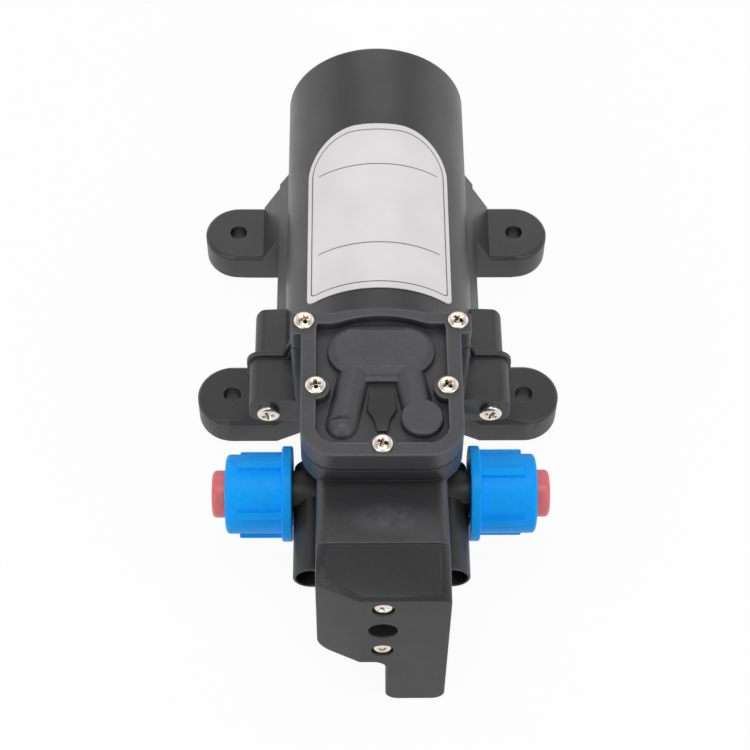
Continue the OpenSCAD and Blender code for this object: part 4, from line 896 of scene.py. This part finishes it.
class PUMP_OT_unions(bpy.types.Operator):
    """Dresses the blue union nuts and the red dust plugs."""

    bl_idname = "pump.unions"
    bl_label = "Union nuts and plugs"

    def execute(self, context):
        finish = context.scene.pump_finish
        blue = moulded_plastic("union_blue", tuple(finish.nut), grain=0.0006, depth=0.000012,
                               rough=(0.34, 0.46), tint=0.06, specular=0.1, edge=0.0003)
        red = soft_red("plug_red", tuple(finish.plug))
        for side in ("left", "right"):
            nut = copy_of_node(side + "_union_nut", side + "_nut_moulding")
            smooth_faces(round_edges(nut, NUT_EDGE))
            dress(nut, blue, side + "_nut", [side + "_union_nut"])
            plug = copy_of_node(side + "_dust_plug", side + "_plug_moulding")
            smooth_faces(round_edges(plug, PLUG_EDGE))
            dress(plug, red, side + "_plug", [side + "_dust_plug"])
        return {"FINISHED"}


class PUMP_OT_label(bpy.types.Operator):
    """Gives the label its bare silver film with border and dividers."""

    bl_idname = "pump.label"
    bl_label = "Label"

    def execute(self, context):
        finish, sizes = context.scene.pump_finish, context.scene.pump_label
        low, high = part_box("rating_label")
        film = label_film("label_silver", tuple(finish.label), tuple(finish.line), sizes, low, high)
        dress(NODES["rating_label"], film)
        return {"FINISHED"}


class PUMP_OT_inner(bpy.types.Operator):
    """Gives the inner pieces their materials and the plunger's spring a steel copy of its own."""

    bl_idname = "pump.inner"
    bl_label = "Inner pieces"

    def execute(self, context):
        black = moulded_plastic("inner_black", (0.022, 0.022, 0.024), grain=0.0003)
        natural = moulded_plastic("natural_acetal", (0.70, 0.67, 0.60), grain=0.0004, depth=0.00001,
                                  rough=(0.32, 0.44), tint=0.05)
        rubber = moulded_plastic("seal_rubber", (0.018, 0.018, 0.019), grain=0.0005, depth=0.00002,
                                 rough=(0.55, 0.7), tint=0.15)
        red = moulded_plastic("button_red", (0.50, 0.02, 0.02), grain=0.0004, depth=0.00001,
                              rough=(0.3, 0.4), tint=0.08)
        carbon = moulded_plastic("brush_carbon", (0.03, 0.03, 0.032), grain=0.0002, depth=0.00003,
                                 rough=(0.5, 0.7), tint=0.3)
        ferrite = moulded_plastic("ground_ferrite", (0.05, 0.05, 0.055), grain=0.0003, depth=0.00003,
                                  rough=(0.5, 0.7), tint=0.25)
        steel = plated_metal("plain_steel", (0.50, 0.51, 0.53), rough=(0.24, 0.42))
        dark = plated_metal("black_steel", (0.12, 0.12, 0.13), rough=(0.3, 0.5))
        brass = plated_metal("turned_brass", (0.72, 0.50, 0.18), rough=(0.22, 0.38))
        copper = plated_metal("bar_copper", (0.72, 0.30, 0.14), rough=(0.22, 0.4))
        wire = wound_copper("wound_wire", (0.62, 0.20, 0.07))
        nickel = plated_metal("nickel_inside", tuple(context.scene.pump_finish.nickel))
        finishes = {
            "end_bell": black, "microswitch": black, "valve_plate": black,
            "guide_ring": natural, "switch_plunger": natural, "connecting_rod": natural,
            "diaphragm_support": natural, "diaphragm_clamp": natural,
            "head_gasket": rubber, "pressure_membrane": rubber, "diaphragm": rubber,
            "inlet_valve": rubber, "outlet_valve": rubber,
            "microswitch_button": red, "brushes": carbon, "magnets": ferrite,
            "motor_can": steel, "brush_springs": steel, "front_bearing": steel,
            "motor_shaft": steel, "armature_core": steel, "eccentric": steel, "crank_bearing": steel,
            "set_screw": dark, "adjusting_screw": dark, "rear_bush": brass,
            "commutator": copper, "windings": wire, "clamp_screw": nickel,
        }
        for node, material in finishes.items():
            dress(NODES[node], material)
        spring = copy_of_node("switch_spring", "plunger_spring")
        dress(spring, steel, "pump", ["switch_spring"])
        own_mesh(spring)
        return {"FINISHED"}


class PUMP_OT_stage(bpy.types.Operator):
    """Sets the pale floor, the soft light and the camera."""

    bl_idname = "pump.stage"
    bl_label = "Stage"

    def execute(self, context):
        stage = context.scene.pump_stage
        floor = pale_floor(stage.white)
        context.scene.world = white_tent(stage.ambient, stage.overhead)
        hang_lamps(stage)
        context.scene.camera = photo_camera(stage)
        context.scene.view_settings.view_transform = "Standard"
        return {"FINISHED"}


class PUMP_PT_panel(bpy.types.Panel):
    """Lists the pump's operators."""

    bl_idname = "PUMP_PT_panel"
    bl_label = "Water pump"
    bl_space_type = "VIEW_3D"
    bl_region_type = "UI"
    bl_category = "Pump"

    def draw(self, context):
        for operator in OPERATORS:
            self.layout.operator(operator.bl_idname)


OPERATORS = (PUMP_OT_shells, PUMP_OT_screws, PUMP_OT_unions, PUMP_OT_label, PUMP_OT_inner, PUMP_OT_stage)
GROUPS = {
    "pump_finish": PumpFinish, "pump_screw": PumpScrew, "pump_label": PumpLabel, "pump_stage": PumpStage,
}


def register():
    """Registers the classes and hangs the properties on the scene."""
    for cls in (*GROUPS.values(), *OPERATORS, PUMP_PT_panel):
        bpy.utils.register_class(cls)
    for name, group in GROUPS.items():
        setattr(bpy.types.Scene, name, PointerProperty(type=group))


def unregister():
    """Takes the classes and properties away again."""
    for name in GROUPS:
        delattr(bpy.types.Scene, name)
    for cls in (PUMP_PT_panel, *reversed(OPERATORS), *reversed(list(GROUPS.values()))):
        bpy.utils.unregister_class(cls)


def main():
    """Builds every piece and the stage."""
    register()
    for operator in OPERATORS:
        family, name = operator.bl_idname.split(".")
        getattr(getattr(bpy.ops, family), name)()


if __name__ == "__main__":
    main()
